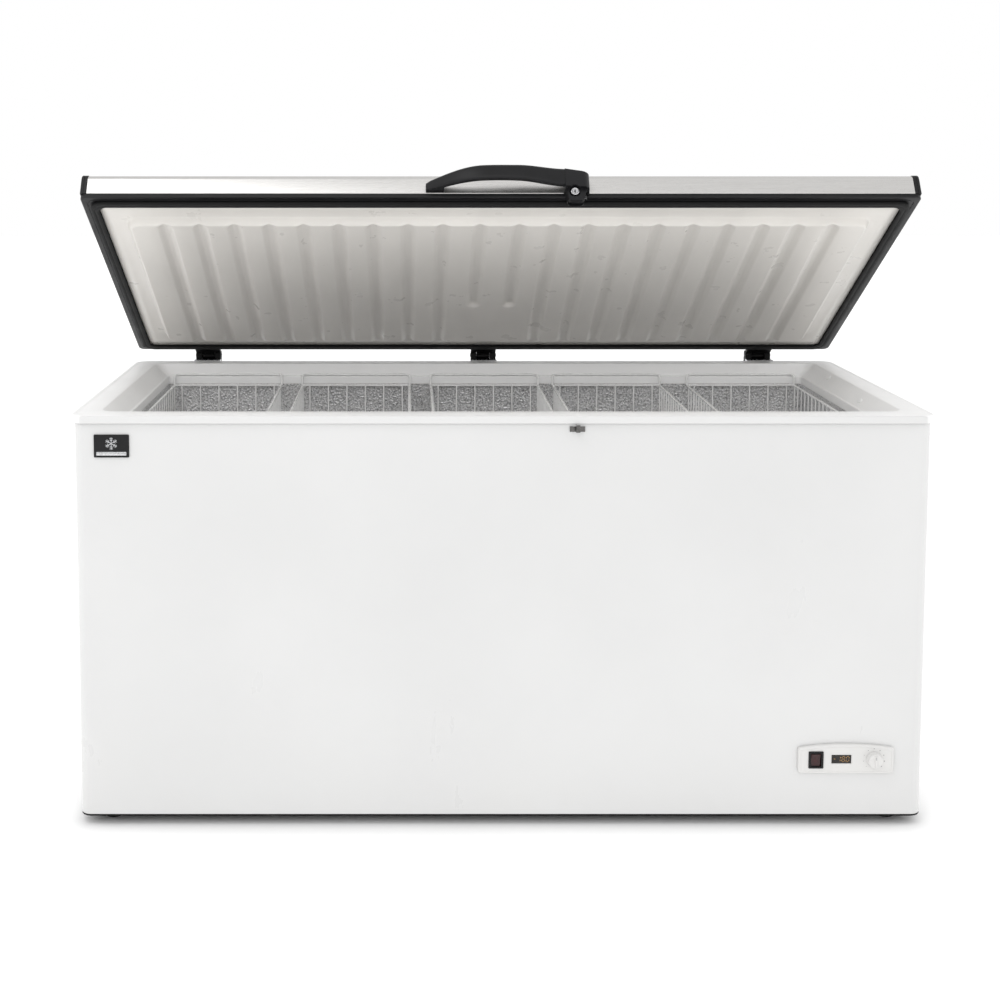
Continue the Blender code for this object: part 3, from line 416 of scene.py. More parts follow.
def brushed_steel():
    """Stainless sheet brushed along its length, with faint cloud and finger smears."""
    g = Graph("brushed_steel", metallic=1.0)
    lines = g.noise(26.0, 6.0, (0.35, 46.0, 46.0), 0.7)
    fine = g.noise(60.0, 3.0, (0.6, 60.0, 60.0), 0.6)
    cloud = g.noise(2.0, 3.0)
    tint = g.mix(g.span(lines, 0.3, 0.7, 0.0, 1.0), (0.58, 0.57, 0.555, 1.0),
                 (0.72, 0.71, 0.695, 1.0))
    tint = g.mix(g.span(cloud, 0.35, 0.65, 0.0, 0.2), tint, (0.56, 0.55, 0.54, 1.0))
    rough = g.span(fine, 0.3, 0.7, 0.22, 0.38)
    return g.finish(tint, rough, g.bump(lines, 0.10, 0.0002), Anisotropic=0.55)


def bare_steel(name="plated_steel", color=(0.62, 0.62, 0.63), low=0.16, high=0.34):
    """Zinc or nickel plating: spangle, handling scratches and dull spots."""
    g = Graph(name, metallic=1.0)
    spangle = g.cells(420.0)
    scratch = g.noise(90.0, 5.0, (3, 1, 0.3), 0.7)
    tint = g.mix(g.span(spangle, 0.1, 0.8, 0.0, 1.0), tone(color, 1.12), tone(color, 0.8))
    tint = g.mix(g.span(g.noise(45.0, 4.0), 0.55, 0.7, 0.0, 0.35), tint, tone(color, 0.45))
    rough = g.span(scratch, 0.3, 0.7, low, high)
    return g.finish(tint, rough, g.bump(scratch, 0.15, 0.0001))


def powder_black():
    """Black powder coat: pebbled film, rubbed lighter in patches."""
    color = (0.0025, 0.0025, 0.0027)
    g = Graph("powder_black")
    film = g.noise(700.0, 2.0)
    rub = g.noise(38.0, 6.0, roughness=0.65)
    tint = g.mix(g.span(rub, 0.5, 0.75, 0.0, 0.5), tone(color), tone(color, 3.2))
    rough = g.span(rub, 0.3, 0.7, 0.42, 0.60)
    return g.finish(tint, rough, g.bump(film, 0.22, 0.0002), Specular_IOR_Level=0.2)


def satin_black():
    """Moulded black plastic: spark-eroded grain with soft sheen variation."""
    color = (0.0045, 0.0045, 0.0052)
    g = Graph("satin_black")
    grain = g.cells(1100.0)
    drift = g.noise(16.0, 5.0)
    tint = g.mix(g.span(drift, 0.3, 0.7, 0.0, 1.0), tone(color, 0.8), tone(color, 1.5))
    tint = g.mix(g.span(g.noise(240.0, 3.0), 0.62, 0.75, 0.0, 0.25), tint,
                 (0.022, 0.022, 0.024, 1.0))
    rough = g.span(drift, 0.3, 0.7, 0.34, 0.50)
    return g.finish(tint, rough, g.bump(grain, 0.16, 0.0002), Specular_IOR_Level=0.3)


def soft_rubber():
    """Matte extruded rubber: uneven bloom and fine pores."""
    color = (0.004, 0.004, 0.0042)
    g = Graph("soft_rubber")
    bloom = g.noise(22.0, 6.0, roughness=0.6)
    tint = g.mix(g.span(bloom, 0.4, 0.72, 0.0, 0.6), tone(color), (0.011, 0.011, 0.0115, 1.0))
    rough = g.span(bloom, 0.3, 0.7, 0.62, 0.85)
    pores = g.bump(g.noise(820.0, 3.0), 0.3, 0.0002)
    return g.finish(tint, rough, pores, Sheen_Weight=0.05, Sheen_Roughness=0.5,
                    Specular_IOR_Level=0.25)


def wire_coat():
    """White dipped coating on wire: glossy, slightly lumpy, greyer in places."""
    g = Graph("dipped_wire")
    lumps = g.noise(120.0, 3.0)
    tint = g.mix(g.span(g.noise(30.0, 4.0), 0.35, 0.7, 0.0, 1.0), (0.93, 0.93, 0.925, 1.0),
                 (0.85, 0.85, 0.84, 1.0))
    rough = g.span(lumps, 0.3, 0.7, 0.22, 0.38)
    return g.finish(tint, rough, g.bump(lumps, 0.25, 0.0005), Coat_Weight=0.3,
                    Coat_Roughness=0.1)


def foamed():
    """Rigid foam, cut: small open cells with a skin that has yellowed unevenly."""
    g = Graph("rigid_foam")
    cell = g.cells(520.0)
    tint = g.mix(g.span(g.noise(7.0, 5.0), 0.3, 0.7, 0.0, 1.0), (0.80, 0.70, 0.45, 1.0),
                 (0.62, 0.50, 0.28, 1.0))
    tint = g.mix(g.span(cell, 0.0, 0.5, 0.5, 0.0), tint, (0.40, 0.31, 0.16, 1.0))
    return g.finish(tint, g.span(cell, 0.0, 0.7, 0.95, 0.8), g.bump(cell, 0.6, 0.0008))


def copper():
    """Drawn copper: bright metal with brown tarnish and darker spots."""
    g = Graph("drawn_copper", metallic=1.0)
    tarnish = g.noise(24.0, 6.0, roughness=0.65)
    tint = g.mix(g.span(tarnish, 0.42, 0.66, 0.0, 1.0), (0.86, 0.42, 0.25, 1.0),
                 (0.33, 0.14, 0.07, 1.0))
    rough = g.span(tarnish, 0.35, 0.7, 0.22, 0.5)
    return g.finish(tint, rough, g.bump(g.noise(260.0, 3.0), 0.18, 0.0002))


def lens(name, deep, pale):
    """Glossy tinted plastic with faint swirl marks and dust."""
    g = Graph(name)
    swirl = g.noise(70.0, 4.0, (1.0, 1.0, 0.4))
    tint = g.mix(g.span(swirl, 0.35, 0.7, 0.0, 1.0), deep, pale)
    dust = g.span(g.noise(900.0, 2.0), 0.68, 0.78, 0.0, 0.35)
    tint = g.mix(dust, tint, tone(pale[:3], 1.8))
    rough = g.span(swirl, 0.3, 0.7, 0.10, 0.24)
    return g.finish(tint, rough, g.bump(swirl, 0.05, 0.0002))


def liner_plastic():
    """Formed inner panel of the lid: warm white, thinner and duller where it was drawn."""
    color = (0.715, 0.692, 0.655)
    g = Graph("formed_liner")
    drawn = g.noise(5.0, 4.0, (1.6, 0.5, 1.0))
    tint = g.mix(g.span(drawn, 0.3, 0.7, 0.0, 1.0), tone(color, 0.95), tone(color, 1.04))
    rough = g.span(g.noise(26.0, 5.0), 0.3, 0.7, 0.26, 0.42)
    skin = g.bump(g.noise(480.0, 3.0), 0.05, 0.0001)
    ripple = g.bump(g.noise(16.0, 2.0), 0.06, 0.001, skin)
    return g.finish(tint, rough, ripple)


def glow(name, color, strength):
    """Lit segment: even glow, slightly weaker at random spots."""
    g = Graph(name)
    flicker = g.noise(600.0, 2.0)
    tint = g.mix(g.span(flicker, 0.3, 0.7, 0.0, 1.0), tone(color, 0.7), tone(color))
    g.feed(g.shader.inputs["Emission Color"], tint)
    g.shader.inputs["Emission Strength"].default_value = strength
    return g.finish(tint, g.span(flicker, 0.3, 0.7, 0.2, 0.4), g.bump(flicker, 0.1, 0.0001))


def printed(name, color):
    """Print or inlay: solid ink with a slight screen pattern."""
    g = Graph(name)
    screen = g.cells(1600.0)
    tint = g.mix(g.span(screen, 0.1, 0.6, 0.0, 1.0), tone(color, 1.1), tone(color, 0.85))
    return g.finish(tint, g.span(screen, 0.1, 0.6, 0.35, 0.5), g.bump(screen, 0.1, 0.0001))


ENAMEL = coated_sheet()
WHITE = moulded_white()
RIM_WHITE_PAINTED_SHADE = rim_moulding()
FASCIA = moulded_white("fascia_white", (0.70, 0.695, 0.687))
STUCCO = stucco_aluminium()
BRUSHED = brushed_steel()
PLATED = bare_steel()
DARK_PLATED = bare_steel("dark_plated", (0.16, 0.155, 0.15), low=0.25, high=0.45)
POWDER = powder_black()
SATIN = satin_black()
RUBBER = soft_rubber()
WIRE = wire_coat()
FOAM = foamed()
COPPER = copper()
LINER = liner_plastic()
RED = lens("red_lens", (0.016, 0.0002, 0.0006, 1.0), (0.036, 0.0005, 0.0012, 1.0))
SMOKED = lens("smoked_window", (0.004, 0.002, 0.0008, 1.0), (0.012, 0.006, 0.002, 1.0))
AMBER = glow("amber_segment", (0.42, 0.24, 0.08), 0.12)
GREY_INK = printed("grey_print", (0.28, 0.28, 0.29))
PALE_INK = printed("pale_print", (0.72, 0.73, 0.75))


# ---------------------------------------------------------------- cabinet shell and rim
SHELL_R = 0.022
SHEET_T = 0.0012
FLANGE = 0.034            # the wrap turns this far onto the back
FIT = 0.0005              # a cut in the wrap is smaller by this than the part in it
FASCIA_LOW, FASCIA_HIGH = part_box("control_bezel")
FRONT = SHELL_LOW.y


def wrap_outline(inset, z, steps=12):
    """Back edges, sides and front of the wrap, as an open row of points."""
    half = SHELL_HIGH.x
    back, front = SHELL_HIGH.y, SHELL_LOW.y
    radius = SHELL_R - inset
    points = [(-half + FLANGE, back - inset, z)]
    for cx, cy, start in ((-half + SHELL_R, back - SHELL_R, 90),
                          (-half + SHELL_R, front + SHELL_R, 180),
                          (half - SHELL_R, front + SHELL_R, 270),
                          (half - SHELL_R, back - SHELL_R, 0)):
        for i in range(steps + 1):
            angle = math.radians(start + 90 * i / steps)
            points.append((cx + radius * math.cos(angle), cy + radius * math.sin(angle), z))
    points.append((half - FLANGE, back - inset, z))
    return points


def make_shell():
    """Painted wrap with a hemmed lower edge, open above, cut for the fascia's fittings."""
    low, high = SHELL_LOW.z, SHELL_HIGH.z
    stations = [(0.0010, low), (0.0002, low + 0.0006), (0.0, low + 0.0016), (0.0, low + 0.0120),
                (0.0004, low + 0.0132), (0.0004, high)]
    outer = [wrap_outline(inset, z) for inset, z in stations]
    inner = [wrap_outline(0.0004 + SHEET_T, z) for z in (high, low + 0.0132)]
    inner += [wrap_outline(0.0030, z) for z in (low + 0.0120, low + 0.0010)]
    bm = bmesh.new()
    rows = [[bm.verts.new(p) for p in loop] for loop in outer + inner]
    for a, b in zip(rows, rows[1:] + rows[:1]):
        for i in range(len(a) - 1):
            bm.faces.new((a[i], a[i + 1], b[i + 1], b[i]))
    for end in (0, -1):
        bm.faces.new([row[end] for row in rows])
    shell = draft("shell_wrap", bm)
    lo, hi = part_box("compressor_grille")
    cut_block(shell, SHELL_HIGH.x - 0.02, SHELL_HIGH.x + 0.02, lo.y + 0.015, hi.y - 0.015,
              lo.z + 0.012, hi.z - 0.012)
    cutter = bmesh.new()
    for node in ("switch_housing", "display_module"):
        lo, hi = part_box(node)
        block(cutter, lo.x + FIT, hi.x - FIT, FRONT - 0.01, FRONT + 0.02, lo.z + FIT, hi.z - FIT)
    cut(shell, cutter)
    cut_turned(shell, ((0.0065, -0.01), (0.0065, 0.02)), (KNOB.x, FRONT, KNOB.z))
    settle(shell, ENAMEL, "cabinet", ("outer_shell",))


VENT_Z, VENT_PITCH, VENT_XS = 0.1650, 0.0160, (0.6300, 0.7300)
BEAD_XS = (-0.55, -0.15, 0.25, 0.50)
BEAD_LOW, BEAD_HIGH = 0.12, 0.66


def make_rear_panel():
    """Back sheet with rows of hooded louvres, upright beads and screws."""
    lo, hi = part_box("rear_panel")
    gland = middle_of("power_gland")
    bm = bmesh.new()
    block(bm, lo.x, hi.x, hi.y - SHEET_T, hi.y, lo.z, hi.z)
    panel = draft("rear_sheet", bm)
    slots = [(x, VENT_Z + VENT_PITCH * row) for row in range(6) for x in VENT_XS]
    cutter = bmesh.new()
    for x, z in slots:
        block(cutter, x - 0.038, x + 0.038, lo.y - 0.01, hi.y + 0.01, z, z + 0.007)
    cut(panel, cutter)
    cut_turned(panel, ((0.0074, -0.01), (0.0074, 0.01)), (gland.x, hi.y, gland.z))
    settle(panel, ENAMEL, "cabinet", ("rear_panel",))
    bm = bmesh.new()
    for x, z in slots:
        back = hi.y - SHEET_T
        outline = [(hi.y, z + 0.0085), (hi.y + 0.0030, z + 0.0050), (hi.y + 0.0036, z - 0.0005),
                   (hi.y + 0.0028, z - 0.0005), (hi.y + 0.0022, z + 0.0044), (back, z + 0.0075)]
        prism_x(bm, outline, x - 0.039, x + 0.039)
    hoods = draft("rear_louvres", bm)
    settle(hoods, ENAMEL, "cabinet")
    bm = bmesh.new()
    for x in BEAD_XS:
        loft(bm, [[(px, hi.y + proud, pz) for px, pz in
                   corner_points(x - half, x + half, BEAD_LOW + 0.006 - half,
                                 BEAD_HIGH - 0.006 + half, half, 5)]
                  for half, proud in ((0.006, -0.0004), (0.003, 0.0014))])
    settle(draft("rear_beads", bm), ENAMEL, "cabinet")
    screws = [(x, z) for x in (lo.x + 0.012, -0.35, 0.05, 0.40, hi.x - 0.012)
              for z in (lo.z + 0.014, hi.z - 0.012)]
    make_screws("rear_screws", [(x, hi.y, z) for x, z in screws], "Y", 1)


def make_screws(name, spots, axis, side, radius=0.0038, body="cabinet"):
    """Pan-head screws with a cross recess, all of one piece."""
    bm = bmesh.new()
    for spot in spots:
        profile = ((radius, 0.0), (radius, 0.0006 * side), (radius * 0.85, 0.0014 * side),
                   (radius * 0.5, 0.0019 * side), (radius * 0.30, 0.0020 * side),
                   (radius * 0.26, 0.0012 * side), (0.0002, 0.0010 * side))
        turned(bm, profile, spot, axis, 20)
    settle(draft(name, bm), PLATED, body)


EDGE_R = 0.0035


def make_rim():
    """Moulded frame: lip with a drip edge, crowned flat top, sloped throat, basket ledge."""
    arc = [(EDGE_R * (1 - math.cos(math.radians(a))), EDGE_R * (1 - math.sin(math.radians(a))))
           for a in (0, 22, 45, 68, 90)]
    # (side inset, front inset, rear inset, drop from the top, corner radius), from the lip in
    stations = [(0.0008,) * 3 + (0.0150, 0.030), (0.0,) * 3 + (0.0142, 0.030)]
    stations += [(i,) * 3 + (drop, 0.030 - i) for i, drop in arc]
    stations += [
        (0.0080, 0.0080, 0.0080, 0.0, 0.028), (0.0100, 0.0100, 0.0100, 0.0005, 0.028),
        (0.0125, 0.0125, 0.0125, 0.0005, 0.028), (0.0145, 0.0145, 0.0145, 0.0, 0.028),
        (0.0495, 0.0485, 0.0440, 0.0, 0.030), (0.0515, 0.0505, 0.0452, 0.0005, 0.029),
        (0.0530, 0.0520, 0.0458, 0.0018, 0.028), (0.0776, 0.0776, 0.0468, 0.0268, 0.012),
        (0.0786, 0.0790, 0.0470, 0.0280, 0.012), (0.0800, 0.0810, 0.0478, 0.0286, 0.011),
        (0.0818, 0.0858, 0.0526, 0.0290, 0.010), (0.0826, 0.0867, 0.0533, 0.0300, 0.010),
        (0.0830, 0.0870, 0.0535, 0.0316, 0.010), (0.0830, 0.0870, 0.0535, 0.0465, 0.010),
        (0.0824, 0.0864, 0.0529, 0.0470, 0.010),
        (0.0790, 0.0830, 0.0495, 0.0470, 0.014), (0.0750, 0.0750, 0.0430, 0.0305, 0.014),
        (0.0500, 0.0490, 0.0430, 0.0040, 0.028), (0.0035, 0.0035, 0.0035, 0.0040, 0.026),
        (0.0035, 0.0035, 0.0035, 0.0150, 0.026)]
    bm = bmesh.new()
    loops = [rounded(-HALF_W + side, HALF_W - side, RIM_LOW.y + front, RIM_HIGH.y - back,
                     radius, TOP - drop, 12)
             for side, front, back, drop, radius in stations]
    loft(bm, loops, ring=True)
    settle(draft("rim_moulding", bm), RIM_WHITE_PAINTED_SHADE, "cabinet", ("rim_frame",))
    make_rim_plugs()


def make_rim_plugs():
    """Two oval plugs in the right slope, each at a share of the way down it."""
    run, fall = 0.0256, 0.0262
    slope = math.atan2(fall, run)
    along = Vector((-math.cos(slope), 0, -math.sin(slope)))
    out = Vector((-math.sin(slope), 0, math.cos(slope)))
    bm = bmesh.new()
    for y, down in ((0.1495, 0.28), (-0.1120, 0.60)):
        centre = Vector((HALF_W - 0.0530 - run * down, y, TOP - 0.0018 - fall * down))
        loops = []
        for grow, lift in ((1.0, -0.0006), (1.0, 0.0004), (0.92, 0.0010), (0.70, 0.0014),
                           (0.35, 0.0016)):
            loops.append([centre + along * (0.0062 * grow * math.cos(2 * math.pi * i / 24))
                          + Vector((0, 0.0115 * grow * math.sin(2 * math.pi * i / 24), 0))
                          + out * lift for i in range(24)])
        loft(bm, loops)
    settle(draft("rim_plugs", bm), RIM_WHITE_PAINTED_SHADE, "cabinet")


# ---------------------------------------------------------------- tank
STEP_LEFT = 0.460
STEP_TOP = 0.360
TANK_GAP = 0.0012         # from the liner's outer faces in to the visible sheet
FLOOR_TOP = LINER_LOW.z + TANK_GAP
COVE = 0.010


def make_tank():
    """Embossed tank: curved upright corners, coved floor and compressor step."""
    x0, x1 = LINER_LOW.x + TANK_GAP, LINER_HIGH.x - TANK_GAP
    y0, y1 = LINER_LOW.y + TANK_GAP, LINER_HIGH.y - TANK_GAP
    top = LINER_HIGH.z
    outline = smooth_corners([(x0, top, 0), (x0, FLOOR_TOP, 0), (STEP_LEFT, FLOOR_TOP, 0),
                              (STEP_LEFT, STEP_TOP, 0), (x1, STEP_TOP, 0), (x1, top, 0)],
                             0.012, 5)
    count = len(outline)

    def station(y, inset):
        points = []
        for i, point in enumerate(outline):
            before = outline[max(i - 1, 0)]
            after = outline[min(i + 1, count - 1)]
            along = (after - before).normalized()
            inward = Vector((-along.y, along.x, 0))
            if i in (0, count - 1):
                inward = Vector((1 if i == 0 else -1, 0, 0))
            moved = point + inward * inset
            points.append((moved.x, y, moved.y))
        return points

    front, back = [], []
    for step in range(6):
        angle = math.radians(90 * step / 5)
        inset = COVE * (1 - math.sin(angle))
        reach = COVE * (1 - math.cos(angle))
        front.append((y0 + reach, inset))
        back.append((y1 - reach, inset))
    rows = front + [(y0 + (y1 - y0) * k / 8, 0.0) for k in range(1, 8)] + back[::-1]
    bm = bmesh.new()
    verts = [[bm.verts.new(p) for p in station(y, inset)] for y, inset in rows]
    for a, b in zip(verts, verts[1:]):
        for i in range(count - 1):
            bm.faces.new((a[i], a[i + 1], b[i + 1], b[i]))
    for row in (verts[0], verts[-1]):
        bm.faces.new(row)
    tank = thicken(draft("tank_sheet", bm), 0.0010)
    settle(tank, STUCCO, "cabinet", ("inner_liner",))
    drain = middle_of("drain_sleeve")
    bm = bmesh.new()
    turned(bm, ((0.0120, 0.0), (0.0185, 0.0), (0.0190, 0.0008), (0.0165, 0.0012),
                (0.0120, 0.0009)), (drain.x, drain.y, FLOOR_TOP), "Z", 32)
    settle(draft("drain_ring", bm), WHITE, "cabinet")


# ---------------------------------------------------------------- baskets
THICK_WIRE = 0.0026       # radii
THIN_WIRE = 0.0018
HOOK_T = 0.0045           # thickness of the hook that rests on the ledge
BASKET_RIM_DROP = 0.0256
LONG_WIRES, CROSS_WIRES, LONG_PITCH = 6, 19, 0.0433
BELT_DROPS = (0.078, 0.146)


def make_baskets():
    """Five baskets of coated wire, each hung by a loop over the ledge at both ends."""
    for number in range(1, 6):
        lo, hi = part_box(f"basket_{number}")
        middle = (lo.x + hi.x) / 2
        half = (hi.x - lo.x) / 2 - THICK_WIRE
        front, back = lo.y + 0.0200 + THICK_WIRE, hi.y - 0.0105 - THICK_WIRE
        rim_z = hi.z - BASKET_RIM_DROP
        ledge_z = hi.z - HOOK_T + THICK_WIRE
        floor_z = lo.z + THIN_WIRE
        body = f"basket_{number}"
        heavy = [([(middle + x, y, rim_z) for x, y in
                   corner_points(-half, half, front, back, 0.011, 5)], True)]
        for wall, hook in ((front, lo.y + THICK_WIRE), (back, hi.y - THICK_WIRE)):
            route = [(middle - half, wall, rim_z + 0.001), (middle - half, wall, ledge_z),
                     (middle - half + 0.010, hook, ledge_z), (middle + half - 0.010, hook, ledge_z),
                     (middle + half, wall, ledge_z), (middle + half, wall, rim_z + 0.001)]
            heavy.append((smooth_corners(route, 0.006, 4), False))
        wires(f"{body}_frame", heavy, THICK_WIRE, WIRE, body, (body,))
        thin = []
        inner = half - THICK_WIRE + 0.0003
        y0, y1 = front + THICK_WIRE - 0.0003, back - THICK_WIRE + 0.0003
        for i in range(LONG_WIRES):
            x = middle + (i - (LONG_WIRES - 1) / 2) * LONG_PITCH
            route = [(x, y0, rim_z + 0.001), (x, y0, floor_z + 2.2 * THIN_WIRE),
                     (x, y1, floor_z + 2.2 * THIN_WIRE), (x, y1, rim_z + 0.001)]
            thin.append((smooth_corners(route, 0.014, 5), False))
        for i in range(CROSS_WIRES):
            y = y0 + (y1 - y0) * (i + 0.5) / CROSS_WIRES
            route = [(middle - inner, y, rim_z + 0.001), (middle - inner, y, floor_z),
                     (middle + inner, y, floor_z), (middle + inner, y, rim_z + 0.001)]
            thin.append((smooth_corners(route, 0.014, 5), False))
        for z in (rim_z - drop for drop in BELT_DROPS):
            grow = THIN_WIRE * 1.6
            loop = corner_points(-inner - grow + 0.001, inner + grow - 0.001, y0 - grow + 0.001,
                                 y1 + grow - 0.001, 0.012, 5)
            thin.append(([(middle + x, y, z) for x, y in loop], True))
        wires(f"{body}_mesh", thin, THIN_WIRE, WIRE, body, sides=2)


# ---------------------------------------------------------------- lid, drawn closed
def lid_loop(inset, z, radius, steps=10):
    """Rounded rectangle at height z, drawn in from the lid frame's sides."""
    return rounded(FRAME_LOW.x + inset, FRAME_HIGH.x - inset, FRAME_LOW.y + inset,
                   FRAME_HIGH.y - inset, radius, z, steps)


NOSE_R = 0.012


def nose(front, top, radius, steps=10):
    """Quarter turn from the front face up to the top, as (y, z)."""
    return [(front + radius - radius * math.cos(math.radians(90 * i / steps)),
             top - radius + radius * math.sin(math.radians(90 * i / steps)))
            for i in range(steps + 1)]


def make_lid_skin():
    """Brushed sheet with a bent nose, a hemmed front edge and a folded back."""
    front, back = SKIN_LOW.y, SKIN_HIGH.y
    low, top = SKIN_LOW.z, SKIN_HIGH.z
    t = 0.0010
    outer = [(front + 0.0060, low), (front + 0.0010, low), (front, low + 0.0010)]
    outer += nose(front, top, NOSE_R)
    outer += [(back - 0.0040, top), (back - 0.0012, top - 0.0012), (back, top - 0.0040),
              (back, low + 0.0010), (back - 0.0010, low), (back - 0.0060, low)]
    inner = [(back - 0.0060, low + t), (back - t, low + t + 0.0004),
             (back - t, top - 0.0040), (back - 0.0040, top - t)]
    inner += [(y, z) for y, z in reversed(nose(front + t, top - t, NOSE_R - t))]
    inner += [(front + t, low + t + 0.0004), (front + 0.0060, low + t)]
    bm = bmesh.new()
    prism_x(bm, outer + inner, SKIN_LOW.x, SKIN_HIGH.x)
    settle(draft("lid_sheet", bm), BRUSHED, "lid", ("lid_top_skin",))


def make_end_rails():
    """Black end mouldings that wrap the sheet's ends, with a shadow groove."""
    for side in ("left", "right"):
        lo, hi = closed_box(f"lid_end_rail_{side}")
        outline = [(lo.y + 0.0006, lo.z), (lo.y, lo.z + 0.0006)]
        outline += nose(lo.y, hi.z, NOSE_R)
        outline += [(hi.y - 0.0010, hi.z), (hi.y, hi.z - 0.0010), (hi.y, lo.z)]
        outer_x, inner_x = (lo.x, hi.x) if side == "left" else (hi.x, lo.x)
        away = math.copysign(1, outer_x)
        centre_y, centre_z = (lo.y + hi.y) / 2, lo.z

        def drawn_in(amount):
            wide = 1 - amount / (hi.y - centre_y)
            tall = 1 - amount / (hi.z - centre_z)
            return [(centre_y + (y - centre_y) * wide, centre_z + (z - centre_z) * tall)
                    for y, z in outline]

        stations = ((inner_x, 0.0), (outer_x - away * 0.0072, 0.0),
                    (outer_x - away * 0.0068, 0.0006), (outer_x - away * 0.0062, 0.0006),
                    (outer_x - away * 0.0058, 0.0), (outer_x - away * 0.0022, 0.0),
                    (outer_x - away * 0.0008, 0.0007), (outer_x, 0.0022))
        bm = bmesh.new()
        loft(bm, [[(x, y, z) for y, z in drawn_in(amount)] for x, amount in stations])
        settle(draft(f"lid_end_{side}", bm), SATIN, "lid",
               (f"lid_end_rail_{side}",))


def make_lid_frame():
    """Black frame round the underside, grooved for the seal."""
    low, top = FRAME_LOW.z, FRAME_HIGH.z
    stations = ((0.0026, low, 0.0115), (0.0010, low + 0.0003, 0.012), (0.0, low + 0.0012, 0.012),
                (0.0, low + 0.0042, 0.012), (0.0005, low + 0.0046, 0.012),
                (0.0005, low + 0.0054, 0.012), (0.0, low + 0.0058, 0.012),
                (0.0, top - 0.0006, 0.012), (0.0006, top, 0.012), (0.0520, top, 0.030),
                (0.0520, low, 0.030), (0.0300, low, 0.022), (0.0296, low + 0.0030, 0.022),
                (0.0216, low + 0.0030, 0.018), (0.0212, low, 0.018), (0.0130, low, 0.015),
                (0.0126, low + 0.0008, 0.015), (0.0106, low + 0.0008, 0.014),
                (0.0102, low, 0.014))
    bm = bmesh.new()
    loft(bm, [lid_loop(*station) for station in stations], ring=True)
    settle(draft("lid_border", bm), SATIN, "lid", ("lid_frame",))


def make_seal():
    """Magnetic seal: bellows on both sides, a flat magnet face and a wiping lip."""
    lo, hi = closed_box("lid_gasket")
    low, top = lo.z, hi.z
    tall = top - low
    stations = ((0.0175, top), (0.0160, top - 0.10 * tall), (0.0172, top - 0.28 * tall),
                (0.0150, top - 0.48 * tall), (0.0158, top - 0.66 * tall),
                (0.0148, low + 0.20 * tall), (0.0165, low + 0.04 * tall), (0.0190, low),
                (0.0224, low), (0.0232, low + 0.0004), (0.0240, low), (0.0278, low),
                (0.0300, low + 0.04 * tall), (0.0318, low + 0.20 * tall),
                (0.0307, top - 0.66 * tall), (0.0317, top - 0.48 * tall),
                (0.0295, top - 0.28 * tall), (0.0309, top - 0.10 * tall), (0.0295, top))
    bm = bmesh.new()
    loft(bm, [lid_loop(inset, z, 0.034 - inset * 0.5) for inset, z in stations], ring=True)
    settle(draft("lid_seal", bm), RUBBER, "lid", ("lid_gasket",))


# ---------------------------------------------------------------- formed inner panel
PANEL_EDGE = 0.0324       # where the panel comes out from under the seal
SLOPE_START = 0.0745
SLOPE_END = 0.0870
PLUG_Z = 0.7965
GROOVE_DEEP = 0.0085
GROOVE_FLAT = 0.0040
GROOVE_HALF = 0.0175
GROOVE_XS = [side * (0.111 + 0.0693 * k) for k in range(9) for side in (-1, 1)]
SHORT_XS = (-0.036, 0.042)
GROOVE_FRONT = FRAME_LOW.y + 0.098
GROOVE_BACK = FRAME_LOW.y + 0.648
SHORT_BACK = FRAME_LOW.y + 0.450
GROOVES = [(x, GROOVE_BACK) for x in GROOVE_XS] + [(x, SHORT_BACK) for x in SHORT_XS]
CORNER_R = 0.105          # of the plug's plan, at the lid's outline


def inset_at(x, y):
    """Distance in from the lid's outline, with rounded corners."""
    half_x = (FRAME_HIGH.x - FRAME_LOW.x) / 2 - CORNER_R
    half_y = (FRAME_HIGH.y - FRAME_LOW.y) / 2 - CORNER_R
    qx = abs(x) - half_x
    qy = abs(y - MID_Y) - half_y
    outside = math.hypot(max(qx, 0.0), max(qy, 0.0))
    return CORNER_R - outside - min(max(qx, qy), 0.0)


def panel_height(x, y):
    """Height of the formed panel: flange, slope or plug, raised where a channel runs."""
    flange = FRAME_LOW.z - 0.0018
    z = flange - (flange - PLUG_Z) * ease(SLOPE_START, SLOPE_END, inset_at(x, y))
    for centre, back in GROOVES:
        if abs(x - centre) < GROOVE_HALF:
            along = min(max(y, GROOVE_FRONT), back)
            away = math.hypot(x - centre, y - along)
            z += GROOVE_DEEP * (1 - ease(GROOVE_FLAT, GROOVE_HALF, away))
    return z


def spread(low, high, step, extra):
    """Sorted grid lines from low to high, at most step apart, through the extra ones."""
    lines = sorted([low, high] + [value for value in extra if low < value < high])
    fixed = [low]
    for value in lines[1:-1]:
        if value - fixed[-1] > 0.0008 and high - value > 0.0008:
            fixed.append(value)
    fixed.append(high)
    result = [fixed[0]]
    for value in fixed[1:]:
        gap = value - result[-1]
        parts = max(1, math.ceil(gap / step))
        result += [result[-1] + gap * (k + 1) / parts for k in range(parts)]
    return result


